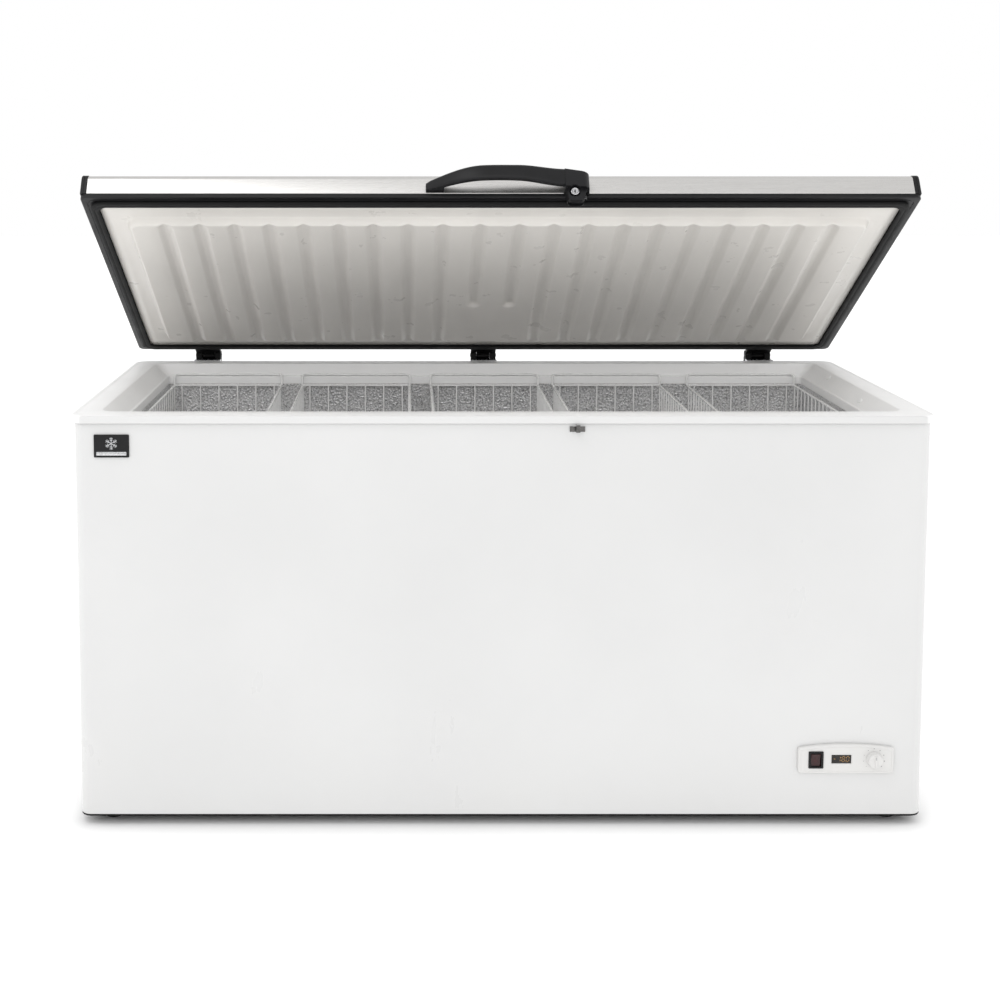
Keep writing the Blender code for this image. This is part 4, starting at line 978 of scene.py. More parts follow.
def make_lid_panel():
    """Formed panel: flange, slope, and a plug with long pressed channels."""
    edges = [SLOPE_START + 0.0018 * k for k in range(9)] + [0.092, 0.097, 0.103, 0.110, 0.118]
    across = [GROOVE_HALF * share / 7 for share in range(-7, 8)]
    x_lines = [sign * (FRAME_HIGH.x - inset) for inset in edges for sign in (-1, 1)]
    x_lines += [centre + offset for centre, _ in GROOVES for offset in across]
    y_lines = [FRAME_LOW.y + inset for inset in edges] + [FRAME_HIGH.y - inset for inset in edges]
    for end in (GROOVE_FRONT, GROOVE_BACK, SHORT_BACK):
        y_lines += [end + offset for offset in across]
    xs = spread(FRAME_LOW.x + PANEL_EDGE, FRAME_HIGH.x - PANEL_EDGE, 0.030, x_lines)
    ys = spread(FRAME_LOW.y + PANEL_EDGE, FRAME_HIGH.y - PANEL_EDGE, 0.030, y_lines)
    bm = bmesh.new()
    grid = [[bm.verts.new((x, y, panel_height(x, y))) for x in xs] for y in ys]
    for row, above in zip(grid, grid[1:]):
        for i in range(len(xs) - 1):
            bm.faces.new((row[i], row[i + 1], above[i + 1], above[i]))
    mesh = bpy.data.meshes.new("lid_panel")
    bm.to_mesh(mesh)
    bm.free()
    sharpen(mesh, 60)
    panel = bpy.data.objects.new("lid_panel", mesh)
    bpy.context.scene.collection.objects.link(panel)
    thicken(panel, 0.0004)
    settle(panel, LINER, "lid", ("lid_liner",))
    make_lid_core()


def make_lid_core():
    """Foam between the panel and the sheet, kept clear of the channels."""
    core_top = closed_box("lid_foam")[1].z
    above = PLUG_Z + GROOVE_DEEP + 0.0010
    stations = ((0.0900, above, 0.030), (0.0785, FRAME_LOW.z + 0.0004, 0.030),
                (0.0555, FRAME_LOW.z + 0.0004, 0.030), (0.0555, FRAME_HIGH.z + 0.0006, 0.030),
                (0.0140, FRAME_HIGH.z + 0.0006, 0.006), (0.0140, core_top - 0.0080, 0.006),
                (0.0160, core_top, 0.006))
    bm = bmesh.new()
    loft(bm, [lid_loop(*station) for station in stations])
    settle(draft("lid_core", bm), FOAM, "lid", ("lid_foam",))


# ---------------------------------------------------------------- handle and lock
HANDLE_PEAK = 0.42
HANDLE_BOW = 0.052
HANDLE_END_BOW = 0.040
HANDLE_T = 0.012
HANDLE_FOOT = 0.035


def swell_at(t):
    """How full the bar is: 0 at its left end, 1 from its peak on."""
    return math.sin(math.pi / 2 * min(t / HANDLE_PEAK, 1.0))


def bow_at(t):
    """Distance of the bar's outer face from the lid's front."""
    fall = max(t - HANDLE_PEAK, 0.0) / (1 - HANDLE_PEAK)
    return (HANDLE_T + (HANDLE_BOW - HANDLE_T) * swell_at(t)
            - (HANDLE_BOW - HANDLE_END_BOW) * fall * fall)


def height_at(t):
    """Height of the bar from its underside to its top."""
    return 0.0185 + 0.0130 * swell_at(t) + 0.0050 * ease(0.55, 1.05, t)


def rise_at(t):
    """How far the bar's underside arches above its right end."""
    return (0.0035 + 0.0043 * ease(0.05, 0.60, t)) * (1 - ease(0.66, 0.97, t))


def make_handle():
    """Bowed grip: soft outer edges, a raised spine line and a solid foot on the left."""
    lo, hi = closed_box("handle_grip")
    wall = hi.y
    length = hi.x - lo.x
    foot = HANDLE_FOOT / length
    shares = [foot * k / 4 for k in range(5)] + [foot * 1.02]
    shares += [foot + (1 - foot) * k / 30 for k in range(1, 31)]
    bm = bmesh.new()
    loops = []
    for t in shares:
        x = lo.x + length * t
        outer = wall - bow_at(t)
        inner = wall if t <= foot else outer + HANDLE_T
        low = lo.z + rise_at(t)
        top = low + height_at(t)
        shrink = 0.0012 * (1 - ease(0.0, 0.012, t)) if t < 0.012 else 0.0
        outline = [(inner - 0.0012, low), (outer + 0.0050, low), (outer + 0.0022, low + 0.0008),
                   (outer + 0.0006, low + 0.0028), (outer, low + 0.0060),
                   (outer, top - 0.0075), (outer + 0.0006, top - 0.0044),
                   (outer + 0.0026, top - 0.0016), (outer + 0.0058, top - 0.0002),
                   (outer + 0.0075, top), (inner - 0.0012, top), (inner, top - 0.0012),
                   (inner, low + 0.0012)]
        loops.append([(x, y + shrink, z - shrink if z > low + 0.004 else z + shrink)
                      for y, z in outline])
    loft(bm, loops)
    settle(draft("handle_bow", bm), SATIN, "lid", ("handle_grip",))


def make_lock():
    """Lock housing with a rounded foot, its barrel with a keyway, and the turning cam."""
    lo, hi = closed_box("lock_housing")
    barrel_high = closed_box("lock_barrel")[1]
    pin = CLOSE @ Vector(JOINTS["lock_turn"]["pos_m"])
    back = hi.y
    face = back - 0.026
    x0, right = lo.x, hi.x - 0.004
    shoulder = hi.z - height_at(1.0)
    lower = [(x0, shoulder + 0.010)]
    for cx, start, end in ((x0 + 0.0145, 195, 270), (right - 0.0165, 270, 345)):
        for k in range(9):
            angle = math.radians(start + (end - start) * k / 8)
            lower.append((cx + 0.009 * math.cos(angle), lo.z + 0.009 + 0.009 * math.sin(angle)))
    lower.append((right, shoulder + 0.010))
    bm = bmesh.new()
    prism_y(bm, lower, face, back)
    housing = draft("lock_case", bm)
    head = bmesh.new()
    plan = [(x0, back), (x0, back + 0.001 - HANDLE_END_BOW)]
    plan += [(right - 0.012, back + 0.0035 - HANDLE_END_BOW)]
    for k in range(1, 8):
        angle = math.radians(90 * k / 8)
        plan.append((right - 0.012 + 0.014 * math.sin(angle),
                     back + 0.0175 - HANDLE_END_BOW - 0.014 * math.cos(angle)))
    plan += [(right + 0.002, back + 0.0185 - HANDLE_END_BOW), (right + 0.004, back)]
    top = shoulder + height_at(1.0)
    bottom = shoulder - 0.0030
    rows = []
    for x, y in plan:
        far = ease(x0 + 0.012, right + 0.004, x)
        rows.append((x, y, bottom, top - 0.0065 * far))
    loft(head, [[(x, y, low) for x, y, low, _ in rows],
                [(x, y, high - 0.0030) for x, y, _, high in rows],
                [(x, y + 0.0010 if y < back - 0.002 else y, high - 0.0010)
                 for x, y, _, high in rows],
                [(x, y + 0.0035 if y < back - 0.004 else y, high) for x, y, _, high in rows]])
    cut(housing, head, "UNION")
    centre = (pin.x, face, pin.z)
    cut_turned(housing, ((0.0105, -0.03), (0.0105, 0.0006), (0.0088, 0.0022),
                         (0.0088, 0.0160)), centre, segments=40)
    cut_block(housing, pin.x - 0.0120, right - 0.0017, barrel_high.y - 0.0100, back - 0.0022,
              lo.z - 0.01, pin.z + 0.0120)
    settle(housing, SATIN, "lid", ("lock_housing",), 0.0012, 3)

    depth = barrel_high.y - face
    bm = bmesh.new()
    turned(bm, ((0.0001, -0.0016), (0.0052, -0.0018), (0.0058, -0.0030), (0.0066, -0.0035),
                (0.0074, -0.0034), (0.0080, -0.0026), (0.0080, depth - 0.0023)), centre, "Y", 40)
    barrel = draft("lock_core", bm)
    cut_block(barrel, pin.x - 0.0010, pin.x + 0.0010, face - 0.004, face + 0.0015,
              pin.z - 0.0036, pin.z + 0.0036)
    cut_turned(barrel, ((0.0019, -0.004), (0.0019, 0.0015)), centre, segments=20)
    cam = bmesh.new()
    block(cam, pin.x - 0.0035, barrel_high.x, barrel_high.y - 0.0025, barrel_high.y,
          pin.z - 0.0035, pin.z + 0.0035)
    cut(barrel, cam, "UNION")
    settle(barrel, PLATED, "lock", ("lock_barrel",), 0.0003, 2)
    bm = bmesh.new()
    block(bm, pin.x - 0.0010, pin.x + 0.0010, face + 0.0008, face + 0.0014,
          pin.z - 0.0036, pin.z + 0.0036)
    settle(draft("lock_keyway", bm), SATIN, "lock")


RIVET_ZS = (0.696, 0.776)
WEB_LOW = 0.786


def make_hinges():
    """Hinges keep their modelled shape, with soft edges, rivets, a web plate and a shim."""
    for number in (1, 2, 3):
        base, arm = NODES[f"hinge_base_{number}"], NODES[f"hinge_arm_{number}"]
        for node in (base, arm):
            soften(node, 0.0009, 2, weld=True)
        lo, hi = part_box(f"hinge_base_{number}")
        depth = (lo.y + hi.y) / 2
        for side, x in ((-1, lo.x), (1, hi.x)):
            spots = [(x, depth, z) for z in RIVET_ZS]
            make_screws(f"hinge_rivets_{number}_{'left' if side < 0 else 'right'}", spots, "X",
                        side, 0.0042)
        middle = (lo.x + hi.x) / 2
        bm = bmesh.new()
        block(bm, middle - 0.0158, middle + 0.0158, PIVOT.y + 0.0086, hi.y - 0.0004, WEB_LOW,
              PIVOT.z + 0.0020)
        settle(draft(f"hinge_web_{number}", bm), POWDER, "cabinet",
               bevel=0.0006, segments=2)
        bm = bmesh.new()
        block(bm, lo.x - 0.0015, hi.x + 0.0015, RIM_HIGH.y + 0.0004, PIVOT.y - 0.0120,
              TOP - 0.0030, TOP + 0.0012)
        settle(draft(f"hinge_shim_{number}", bm), PLATED, "cabinet",
               bevel=0.0005, segments=2)


# ---------------------------------------------------------------- fascia on the front
FASCIA_X = (FASCIA_LOW.x + FASCIA_HIGH.x) / 2
FASCIA_Z = FASCIA_LOW.z + 0.029
FASCIA_FACE = FASCIA_LOW.y
SWITCH_LIP = Vector((0.0015, 0, 0.0015))
KNOB_AXIS_Z = JOINTS["thermostat_turn"]["pos_m"][2]


def fascia_outline(shrink=0.0):
    """Arched top, rounded lower corners, as (x, z) about the fascia's centre."""
    half = (FASCIA_HIGH.x - FASCIA_LOW.x) / 2 - shrink
    low = -0.029 + shrink
    points = []
    for cx, start in ((-half + 0.005, 180), (half - 0.005, 270)):
        for k in range(6):
            angle = math.radians(start + 90 * k / 5)
            points.append((cx + 0.005 * math.cos(angle), low + 0.005 + 0.005 * math.sin(angle)))
    shares = [1.0, 0.995, 0.988, 0.978, 0.965]
    shares += [0.965 - 1.93 * k / 24 for k in range(1, 24)] + [-s for s in reversed(shares)]
    for u in shares:
        corner = max(abs(u) - 0.965, 0.0) / 0.035
        points.append((half * u, 0.0217 + 0.0073 * (1 - abs(u) ** 2.2) - 0.0026 * corner ** 2
                       - shrink))
    return points


def plate_loop(lo, hi, y, inset, radius, steps):
    """Rounded rectangle at depth y, drawn in from the sides of a box."""
    return [(x, y, z) for x, z in corner_points(lo.x + inset, hi.x - inset, lo.z + inset,
                                                hi.z - inset, radius, steps)]


def make_fascia():
    """Fascia with a rounded edge and an engraved border line, and the display's surround."""
    back = FASCIA_HIGH.y
    stations = ((back, 0.0), (FASCIA_FACE + 0.0022, 0.0), (FASCIA_FACE + 0.0009, 0.0004),
                (FASCIA_FACE + 0.0002, 0.0012), (FASCIA_FACE, 0.0024), (FASCIA_FACE, 0.0044),
                (FASCIA_FACE + 0.0004, 0.0047), (FASCIA_FACE + 0.0004, 0.0051),
                (FASCIA_FACE, 0.0054))
    bm = bmesh.new()
    loft(bm, [[(FASCIA_X + x, y, FASCIA_Z + z) for x, z in fascia_outline(shrink)]
              for y, shrink in stations])
    fascia = draft("fascia", bm)
    for node, extra in (("switch_housing", 0.0003), ("display_window", 0.0004)):
        lo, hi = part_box(node)
        if node == "switch_housing":
            lo, hi = lo + SWITCH_LIP, hi - SWITCH_LIP
        cut_block(fascia, lo.x - extra, hi.x + extra, FASCIA_FACE - 0.01, back + 0.01,
                  lo.z - extra, hi.z + extra)
    cut_turned(fascia, ((0.0062, -0.02), (0.0062, 0.02)), (KNOB.x, FASCIA_FACE, KNOB_AXIS_Z))
    settle(fascia, FASCIA, "cabinet", ("control_bezel",))

    lo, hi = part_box("display_window")
    bm = bmesh.new()
    stations = ((0.002, -0.0003, 0.0006), (0.0001, -0.0020, 0.0016),
                (-0.0004, -0.0020, 0.0016), (-0.0007, -0.0003, 0.0006))
    loft(bm, [plate_loop(lo, hi, FASCIA_FACE + sunk, inset, radius, 4)
              for sunk, inset, radius in stations], ring=True)
    settle(draft("display_surround", bm), FASCIA, "cabinet")


SEGMENTS = {"-": "g", "0": "abcdef", "1": "bc", "8": "abcdefg"}
DIGIT_PITCH = 0.0084


def make_digits(text, x0, z0, face):
    """Seven-segment figures as raised bars, with a point before the last one."""
    w, h, bar = 0.0052, 0.0106, 0.00115
    ends = {"a": ((0, h), (w, h)), "b": ((w, h), (w, h / 2)), "c": ((w, h / 2), (w, 0)),
            "d": ((0, 0), (w, 0)), "e": ((0, 0), (0, h / 2)), "f": ((0, h / 2), (0, h)),
            "g": ((0, h / 2), (w, h / 2))}
    bm = bmesh.new()
    for place, figure in enumerate(text):
        for name in SEGMENTS[figure]:
            (ax, az), (bx, bz) = ends[name]
            left = x0 + place * DIGIT_PITCH
            start = Vector((left + ax + az * 0.10, 0, z0 + az))
            end = Vector((left + bx + bz * 0.10, 0, z0 + bz))
            along = (end - start).normalized()
            side = Vector((-along.z, 0, along.x))
            start += along * bar * 0.75
            end -= along * bar * 0.75
            outline = [start, start + along * bar * 0.5 + side * bar / 2,
                       end - along * bar * 0.5 + side * bar / 2, end,
                       end - along * bar * 0.5 - side * bar / 2,
                       start + along * bar * 0.5 - side * bar / 2]
            loft(bm, [[(p.x, y, p.z) for p in outline] for y in (face - 0.00015, face + 0.0002)])
    turned(bm, ((0.0005, -0.00015), (0.0005, 0.0002)),
           (x0 + (len(text) - 1) * DIGIT_PITCH - 0.0014, face, z0), "Y", 12)
    settle(draft("display_digits", bm), AMBER, "cabinet")


def make_switch_and_display():
    """Rocker in a lipped black housing, and a smoked window with amber figures."""
    make_switch()
    make_rocker()
    lo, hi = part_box("display_window")
    bm = bmesh.new()
    stations = ((hi.y, 0.0), (lo.y + 0.0006, 0.0), (lo.y, 0.0006))
    loft(bm, [plate_loop(lo, hi, y, s, 0.0010, 4) for y, s in stations])
    settle(draft("display_glass", bm), SMOKED, "cabinet",
           ("display_window",))
    make_digits("-180", (lo.x + hi.x) / 2 - 0.0160, (lo.z + hi.z) / 2 - 0.0053, lo.y)


SWITCH_HALF_X, SWITCH_HALF_Z = 0.0130, 0.0155
ROCKER_HALF = 0.0120      # half of the rocker's height
ROCKER_TILT = math.radians(7)


def make_switch():
    lo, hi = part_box("switch_housing")
    middle = (lo + hi) / 2
    bm = bmesh.new()
    block(bm, middle.x - SWITCH_HALF_X, middle.x + SWITCH_HALF_X, lo.y + 0.0015, hi.y,
          middle.z - SWITCH_HALF_Z, middle.z + SWITCH_HALF_Z)
    housing = draft("switch_case", bm)
    flange = bmesh.new()
    stations = ((lo.y + 0.0018, 0.0), (lo.y + 0.0008, 0.0), (lo.y + 0.0002, 0.0004),
                (lo.y, 0.0011))
    loft(flange, [plate_loop(lo, hi, y, s, 0.0020 - s, 5) for y, s in stations])
    cut(housing, flange, "UNION")
    rocker_low, rocker_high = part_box("power_rocker")
    half_x = (rocker_high.x - rocker_low.x) / 2 + 0.0006
    cut_block(housing, middle.x - half_x, middle.x + half_x, lo.y - 0.01, lo.y + 0.0180,
              middle.z - 0.0130, middle.z + 0.0130)
    settle(housing, SATIN, "cabinet", ("switch_housing",), 0.0003, 2)


def make_rocker():
    """Rocker with a hollowed face, tipped to one side."""
    rocker_low, rocker_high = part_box("power_rocker")
    pivot = Vector(JOINTS["rocker_tilt"]["pos_m"])
    outline = []
    for k in range(17):
        v = -ROCKER_HALF + 2 * ROCKER_HALF * k / 16
        bow = 0.0025 * abs(v / ROCKER_HALF) ** 1.6
        outline.append((-0.0015 - bow, v))
    outline += [(0.0016, 0.0120), (0.0062, 0.0012), (0.0062, -0.0012), (0.0016, -0.0120)]
    bm = bmesh.new()
    width = (rocker_high.x - rocker_low.x) / 2
    turn = Matrix.Rotation(ROCKER_TILT, 3, "X")
    rows = []
    for x, shrink in ((-width, 0.0006), (-width + 0.0006, 0.0), (width - 0.0006, 0.0),
                      (width, 0.0006)):
        row = []
        for y, z in outline:
            point = Vector((x, y + (shrink if y < 0 else 0), z * (1 - shrink / ROCKER_HALF)))
            row.append(pivot + turn @ point)
        rows.append(row)
    loft(bm, rows)
    settle(draft("rocker_cap", bm), RED, "rocker", ("power_rocker",))


SCALE_R = 0.0205


def make_knob():
    """Fluted thermostat knob with a raised pointer, and the scale of dots round it."""
    lo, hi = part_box("thermostat_knob")
    radius = (hi.x - lo.x) / 2
    axis = Vector((KNOB.x, FASCIA_FACE, KNOB_AXIS_Z))
    loops = []
    profile = ((0.0050, 0.0088, 0.0), (0.0050, -0.0003, 0.0), (radius, -0.0003, 0.0),
               (radius, -0.0012, 0.0), (radius * 0.985, -0.0020, 0.0004),
               (radius * 0.950, -0.0108, 0.0004), (radius * 0.930, -0.0122, 0.0002),
               (radius * 0.880, -0.0134, 0.0), (radius * 0.780, -0.0141, 0.0),
               (radius * 0.300, -0.0137, 0.0))
    count = 96
    bm = bmesh.new()
    for r, y, flute in profile:
        loop = []
        for k in range(count):
            angle = 2 * math.pi * k / count
            dip = flute * (0.5 + 0.5 * math.cos(24 * angle))
            loop.append((axis.x + (r - dip) * math.cos(angle), axis.y + y,
                         axis.z + (r - dip) * math.sin(angle)))
        loops.append(loop)
    loft(bm, loops)
    knob = draft("knob_cap", bm)
    ridge = bmesh.new()
    loft(ridge, [[(axis.x + x, y, axis.z + z) for x, z in
                  corner_points(-half, half, -0.0115, 0.0115, half * 0.9, 4)]
                 for y, half in ((axis.y - 0.0120, 0.0024), (axis.y - 0.0160, 0.0019),
                                 (axis.y - 0.0168, 0.0013))])
    cut(knob, ridge, "UNION")
    settle(knob, FASCIA, "knob", ("thermostat_knob",))
    bm = bmesh.new()
    block(bm, axis.x - 0.0005, axis.x + 0.0005, axis.y - 0.01695, axis.y - 0.01675,
          axis.z + 0.0040, axis.z + 0.0100)
    settle(draft("knob_mark", bm), GREY_INK, "knob")

    bm = bmesh.new()
    for k in range(9):
        angle = math.radians(225 - 270 * k / 8)
        radius_dot = 0.00055 + 0.00007 * k
        turned(bm, ((radius_dot, 0.0002), (radius_dot, -0.00015)),
               (axis.x + SCALE_R * math.cos(angle), FASCIA_FACE,
                axis.z + SCALE_R * math.sin(angle)), "Y", 14)
    settle(draft("scale_dots", bm), GREY_INK, "cabinet")


CRYSTAL_R = 0.0118


def make_badge():
    """Black plate with a snow crystal above a silver bar."""
    lo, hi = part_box("badge_plate")
    middle = (lo + hi) / 2
    stations = ((hi.y, 0.0), (lo.y + 0.0010, 0.0), (lo.y + 0.0002, 0.0004), (lo.y, 0.0012))
    bm = bmesh.new()
    loft(bm, [plate_loop(lo, hi, y, s, 0.0018 - s, 5) for y, s in stations])
    settle(draft("badge_face", bm), SATIN, "cabinet", ("badge_plate",))
    face = lo.y
    bm = bmesh.new()
    centre = Vector((middle.x, 0, middle.z + 0.0050))

    def stroke(start, end, width=0.0008):
        along = (end - start).normalized()
        side = Vector((-along.z, 0, along.x)) * width / 2
        loft(bm, [[(p.x, y, p.z) for p in (start - side, end - side, end + side, start + side)]
                  for y in (face - 0.0002, face + 0.0002)])

    def ray_at(degrees):
        angle = math.radians(degrees)
        return Vector((math.cos(angle), 0, math.sin(angle)))

    for heading in range(30, 390, 60):
        ray = ray_at(heading)
        stroke(centre + ray * 0.0006, centre + ray * CRYSTAL_R, 0.0010)
        for share in (0.45, 0.72):
            knot = centre + ray * (CRYSTAL_R * share)
            for turn_by in (-55, 55):
                stroke(knot, knot + ray_at(heading + turn_by) * 0.0036)
    settle(draft("badge_crystal", bm), PALE_INK, "cabinet")
    bm = bmesh.new()
    loft(bm, [[(x, y, z) for x, z in corner_points(middle.x - 0.0285 + s, middle.x + 0.0285 - s,
                                                   lo.z + 0.0042 + s, lo.z + 0.0108 - s,
                                                   0.0012, 4)]
              for y, s in ((face + 0.0003, 0.0), (face - 0.0003, 0.0), (face - 0.0005, 0.0003))])
    settle(draft("badge_bar", bm), PLATED, "cabinet")


# ---------------------------------------------------------------- small outside parts
GRILLE_RIM = 0.018
SLATS = 11


def make_grille():
    """Side vent: a framed cover with slanted slats, ribs and screws."""
    lo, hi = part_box("compressor_grille")
    bm = bmesh.new()
    stations = ((lo.x, 0.0), (hi.x - 0.0020, 0.0), (hi.x - 0.0006, 0.0006), (hi.x, 0.0020))
    loft(bm, [[(x, y, z) for y, z in corner_points(lo.y + s, hi.y - s, lo.z + s, hi.z - s,
                                                   0.010 - s, 6)] for x, s in stations])
    cover = draft("vent_cover", bm)
    cut_block(cover, lo.x - 0.01, hi.x + 0.01, lo.y + GRILLE_RIM, hi.y - GRILLE_RIM,
              lo.z + GRILLE_RIM, hi.z - GRILLE_RIM)
    settle(cover, WHITE, "cabinet", ("compressor_grille",))
    bm = bmesh.new()
    span_z = hi.z - lo.z - 2 * GRILLE_RIM
    for k in range(SLATS):
        z = lo.z + GRILLE_RIM + span_z * (k + 0.5) / SLATS
        slat = [Vector((lo.x + 0.0002, z + 0.0046)), Vector((lo.x + 0.0014, z + 0.0052)),
                Vector((hi.x - 0.0008, z - 0.0042)), Vector((hi.x - 0.0014, z - 0.0054)),
                Vector((hi.x - 0.0022, z - 0.0050))]
        loft(bm, [[(p.x, y, p.y) for p in slat] for y in (lo.y + 0.0178, hi.y - 0.0178)])
    for y in (lo.y + 0.104, hi.y - 0.104):
        block(bm, lo.x + 0.0002, hi.x - 0.0016, y - 0.0012, y + 0.0012, lo.z + 0.0178,
              hi.z - 0.0178)
    settle(draft("vent_slats", bm), WHITE, "cabinet")
    spots = [(hi.x - 0.0014, y, z) for y in (lo.y + 0.009, hi.y - 0.009)
             for z in (lo.z + 0.009, hi.z - 0.009)]
    make_screws("vent_screws", spots, "X", 1, 0.0030)


def make_feet():
    """Ribbed rubber feet."""
    for number in range(1, 5):
        lo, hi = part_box(f"foot_{number}")
        centre = (lo + hi) / 2
        r = (hi.x - lo.x) / 2
        top = hi.z
        profile = ((r * 0.55, 0.0), (r * 0.60, 0.0006), (r * 0.84, 0.0006), (r * 0.90, 0.0),
                   (r * 0.97, 0.0004), (r, 0.0022), (r * 0.985, 0.0040), (r * 0.93, 0.0048),
                   (r * 0.95, 0.0062), (r * 0.90, 0.0076), (r * 0.92, 0.0090),
                   (r * 0.86, 0.0104), (r * 0.88, 0.0118), (r * 0.82, top - 0.0012),
                   (r * 0.80, top))
        bm = bmesh.new()
        turned(bm, profile, (centre.x, centre.y, 0.0), "Z", 40)
        settle(draft(f"foot_pad_{number}", bm), RUBBER, "cabinet",
               (f"foot_{number}",))


def make_gland_and_plug():
    """Ribbed cable gland at the back, and the tank's pull-out drain plug."""
    gland = middle_of("power_gland")
    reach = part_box("power_gland")[1].y - SHELL_HIGH.y
    profile = ((0.0070, -0.006), (0.0070, 0.0002), (0.0118, 0.0002), (0.0120, 0.0010),
               (0.0112, reach * 0.34), (0.0098, reach * 0.38), (0.0104, reach * 0.52),
               (0.0088, reach * 0.56), (0.0094, reach * 0.72), (0.0078, reach * 0.76),
               (0.0080, reach * 0.96), (0.0072, reach), (0.0044, reach), (0.0040, reach * 0.6),
               (0.0002, reach * 0.6))
    bm = bmesh.new()
    turned(bm, profile, (gland.x, SHELL_HIGH.y, gland.z), "Y", 32)
    settle(draft("cable_gland", bm), RUBBER, "cabinet", ("power_gland",))
    centre = middle_of("drain_plug")
    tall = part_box("drain_plug")[1].z - FLOOR_TOP
    profile = ((0.0062, -0.0105), (0.0068, -0.0090), (0.0065, -0.0065), (0.0071, -0.0050),
               (0.0068, -0.0025), (0.0071, 0.0005), (0.0158, 0.0014), (0.0160, 0.0030),
               (0.0148, 0.0066), (0.0132, 0.0080), (0.0060, 0.0088), (0.0048, 0.0110),
               (0.0048, 0.0150), (0.0066, 0.0164), (0.0080, 0.0176), (0.0078, tall - 0.0012),
               (0.0060, tall))
    bm = bmesh.new()
    turned(bm, profile, (centre.x, centre.y, FLOOR_TOP), "Z", 32)
    settle(draft("plug_cap", bm), RUBBER, "plug", ("drain_plug",))


def dress_inner_parts():
    """Better finishes, and soft edges, for the nodes that stay as they were modelled."""
    finishes = {
        "base_pan": POWDER, "foam_core": FOAM, "evaporator_coil": COPPER,
        "condenser_coil": COPPER, "compressor_shell": POWDER, "terminal_cover": SATIN,
        "filter_drier": COPPER, "suction_line": COPPER, "drain_sleeve": WHITE,
        "display_module": SATIN, "thermostat_body": PLATED, "lock_keeper": DARK_PLATED,
        "lid_foam": FOAM,
    }
    finishes.update({f"compressor_mount_{k}": RUBBER for k in (1, 2, 3, 4)})
    for k in (1, 2, 3):
        finishes.update({f"hinge_base_{k}": POWDER, f"hinge_arm_{k}": POWDER,
                         f"hinge_pin_{k}": PLATED, f"hinge_spring_{k}": PLATED})
    for name, material in finishes.items():
        mesh = NODES[name].data
        mesh.materials.clear()
        mesh.materials.append(material)
    for name, width in (("compressor_shell", 0.0008), ("terminal_cover", 0.0015),
                        ("lock_keeper", 0.0004), ("thermostat_body", 0.0005),
                        ("base_pan", 0.0006)):
        soften(NODES[name], width, 2, weld=True)


# ---------------------------------------------------------------- stage
def make_floor():
    """Plain pale studio floor, large enough to run out of view, with a painted shadow: its glow
    fades out round the cabinet.
    """
    bm = bmesh.new()
    block(bm, -14.0, 14.0, -9.0, 19.0, -0.02, 0.0)
    floor = draft("studio_floor", bm)
    g = Graph("pale_floor_painted_shadow")
    wash = g.noise(1.4, 4.0)
    tint = g.mix(g.span(wash, 0.3, 0.7, 0.0, 1.0), (0.93, 0.93, 0.93, 1.0),
                 (0.96, 0.96, 0.96, 1.0))
    # painted shadow: the floor's glow is masked off under the cabinet and fades in over a band
    # round its footprint
    across = g.math("ABSOLUTE", g.axis("X"), 0.0)
    along = g.math("ABSOLUTE", g.axis("Y"), 0.0)
    away = g.math("MAXIMUM", g.math("SUBTRACT", across, HALF_W),
                  g.math("SUBTRACT", along, -RIM_LOW.y))
    lift = g.span(away, -0.05, 0.14, 0.0, 1.0)
    g.feed(g.shader.inputs["Emission Color"], g.mix(lift, (0, 0, 0, 1), (1, 1, 1, 1)))
    g.shader.inputs["Emission Strength"].default_value = FLOOR_GLOW
    floor.data.materials.append(g.finish(tint, g.span(wash, 0.3, 0.7, 0.5, 0.6),
                                         g.bump(g.noise(300.0), 0.05, 0.0003)))


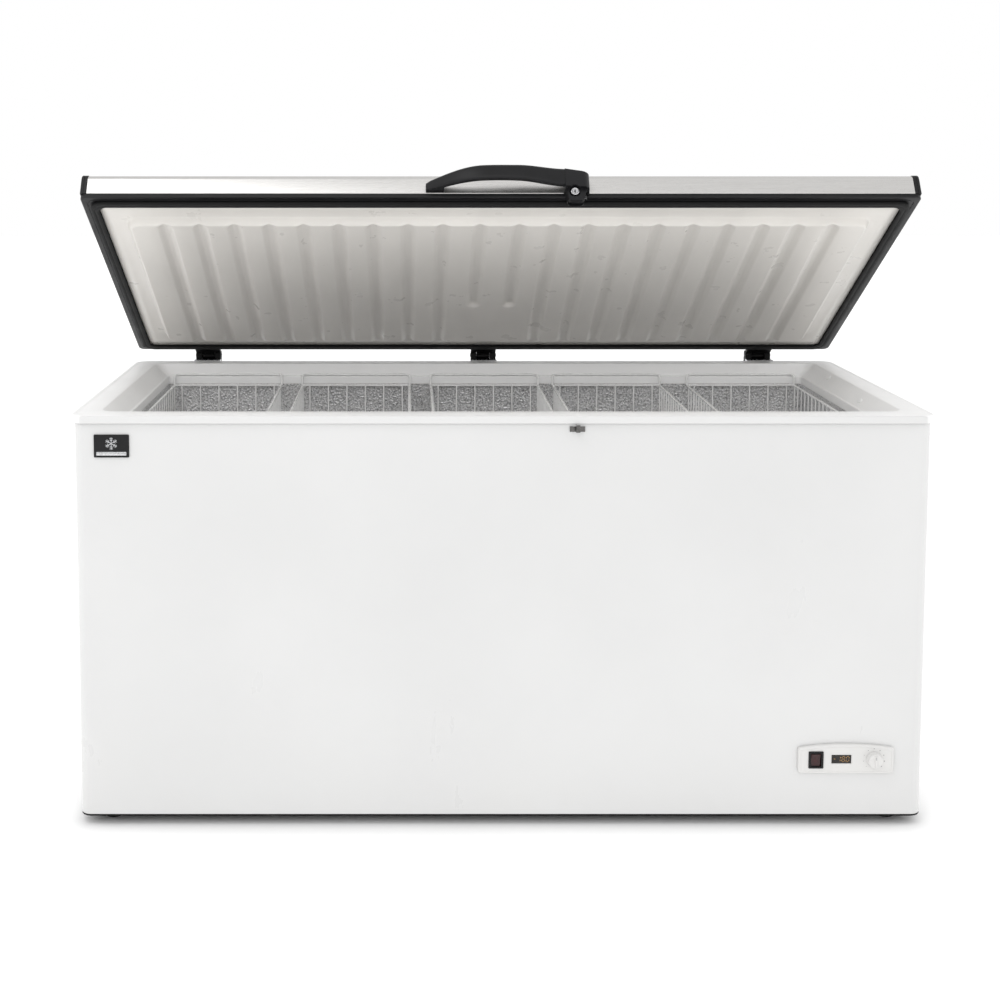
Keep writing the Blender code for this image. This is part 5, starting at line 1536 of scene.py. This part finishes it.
def make_light():
    """Even pale surroundings, with soft lamps above, in front and at both sides."""
    scene = bpy.context.scene
    scene.world = bpy.data.worlds.new("studio")
    scene.world.use_nodes = True
    tree = scene.world.node_tree
    background = tree.nodes["Background"]
    background.inputs["Color"].default_value = (1.0, 1.0, 1.0, 1.0)
    path = tree.nodes.new("ShaderNodeLightPath")
    level = tree.nodes.new("ShaderNodeMapRange")
    level.inputs["To Min"].default_value = SKY
    level.inputs["To Max"].default_value = 1.0
    tree.links.new(path.outputs["Is Camera Ray"], level.inputs["Value"])
    tree.links.new(level.outputs[0], background.inputs["Strength"])
    target = Vector((0.0, 0.0, 0.7))
    for name, place, width, height, power in LAMPS:
        data = bpy.data.lights.new(name, "AREA")
        data.shape = "RECTANGLE"
        data.size = width
        data.size_y = height
        data.energy = power
        lamp = bpy.data.objects.new(name, data)
        lamp.location = place
        lamp.rotation_mode = "QUATERNION"
        lamp.rotation_quaternion = (target - Vector(place)).to_track_quat("-Z", "Y")
        scene.collection.objects.link(lamp)
    scene.view_settings.view_transform = "Standard"
    scene.view_settings.look = "None"


def make_camera():
    """View from the front and above, in the place that frames the open freezer."""
    data = bpy.data.cameras.new("main_view")
    data.sensor_width = 36.0
    data.lens = 54.13
    data.shift_x = 0.0929
    data.shift_y = -0.22
    data.clip_end = 100.0
    data.dof.use_dof = False
    camera = bpy.data.objects.new("main_view", data)
    camera.location = (-0.1825, -3.1983, 1.3119)
    camera.rotation_euler = (math.radians(90 - 5.03), 0.0, 0.0)
    bpy.context.scene.collection.objects.link(camera)
    bpy.context.scene.camera = camera


SKY = 0.90                # light from all round, as a share of the white seen behind
FLOOR_GLOW = 0.30
LAMPS = (
    ("key_soft", (-1.4, -2.0, 3.9), 2.0, 1.4, 15.0),
    ("front_high", (-0.6, -3.8, 3.0), 3.0, 1.2, 24.0),
    ("side_left", (-3.6, -0.3, 2.0), 1.6, 1.2, 14.0),
    ("side_right", (3.6, -0.3, 2.0), 1.6, 1.2, 14.0),
)

make_camera()
for make in (make_shell, make_rear_panel, make_rim, make_tank, make_baskets, make_lid_skin,
             make_end_rails, make_lid_frame, make_seal, make_lid_panel, make_handle, make_lock,
             make_hinges, make_fascia, make_switch_and_display, make_knob, make_badge,
             make_grille, make_feet, make_gland_and_plug, dress_inner_parts, make_floor,
             make_light):
    make()

bpy.context.view_layer.update()
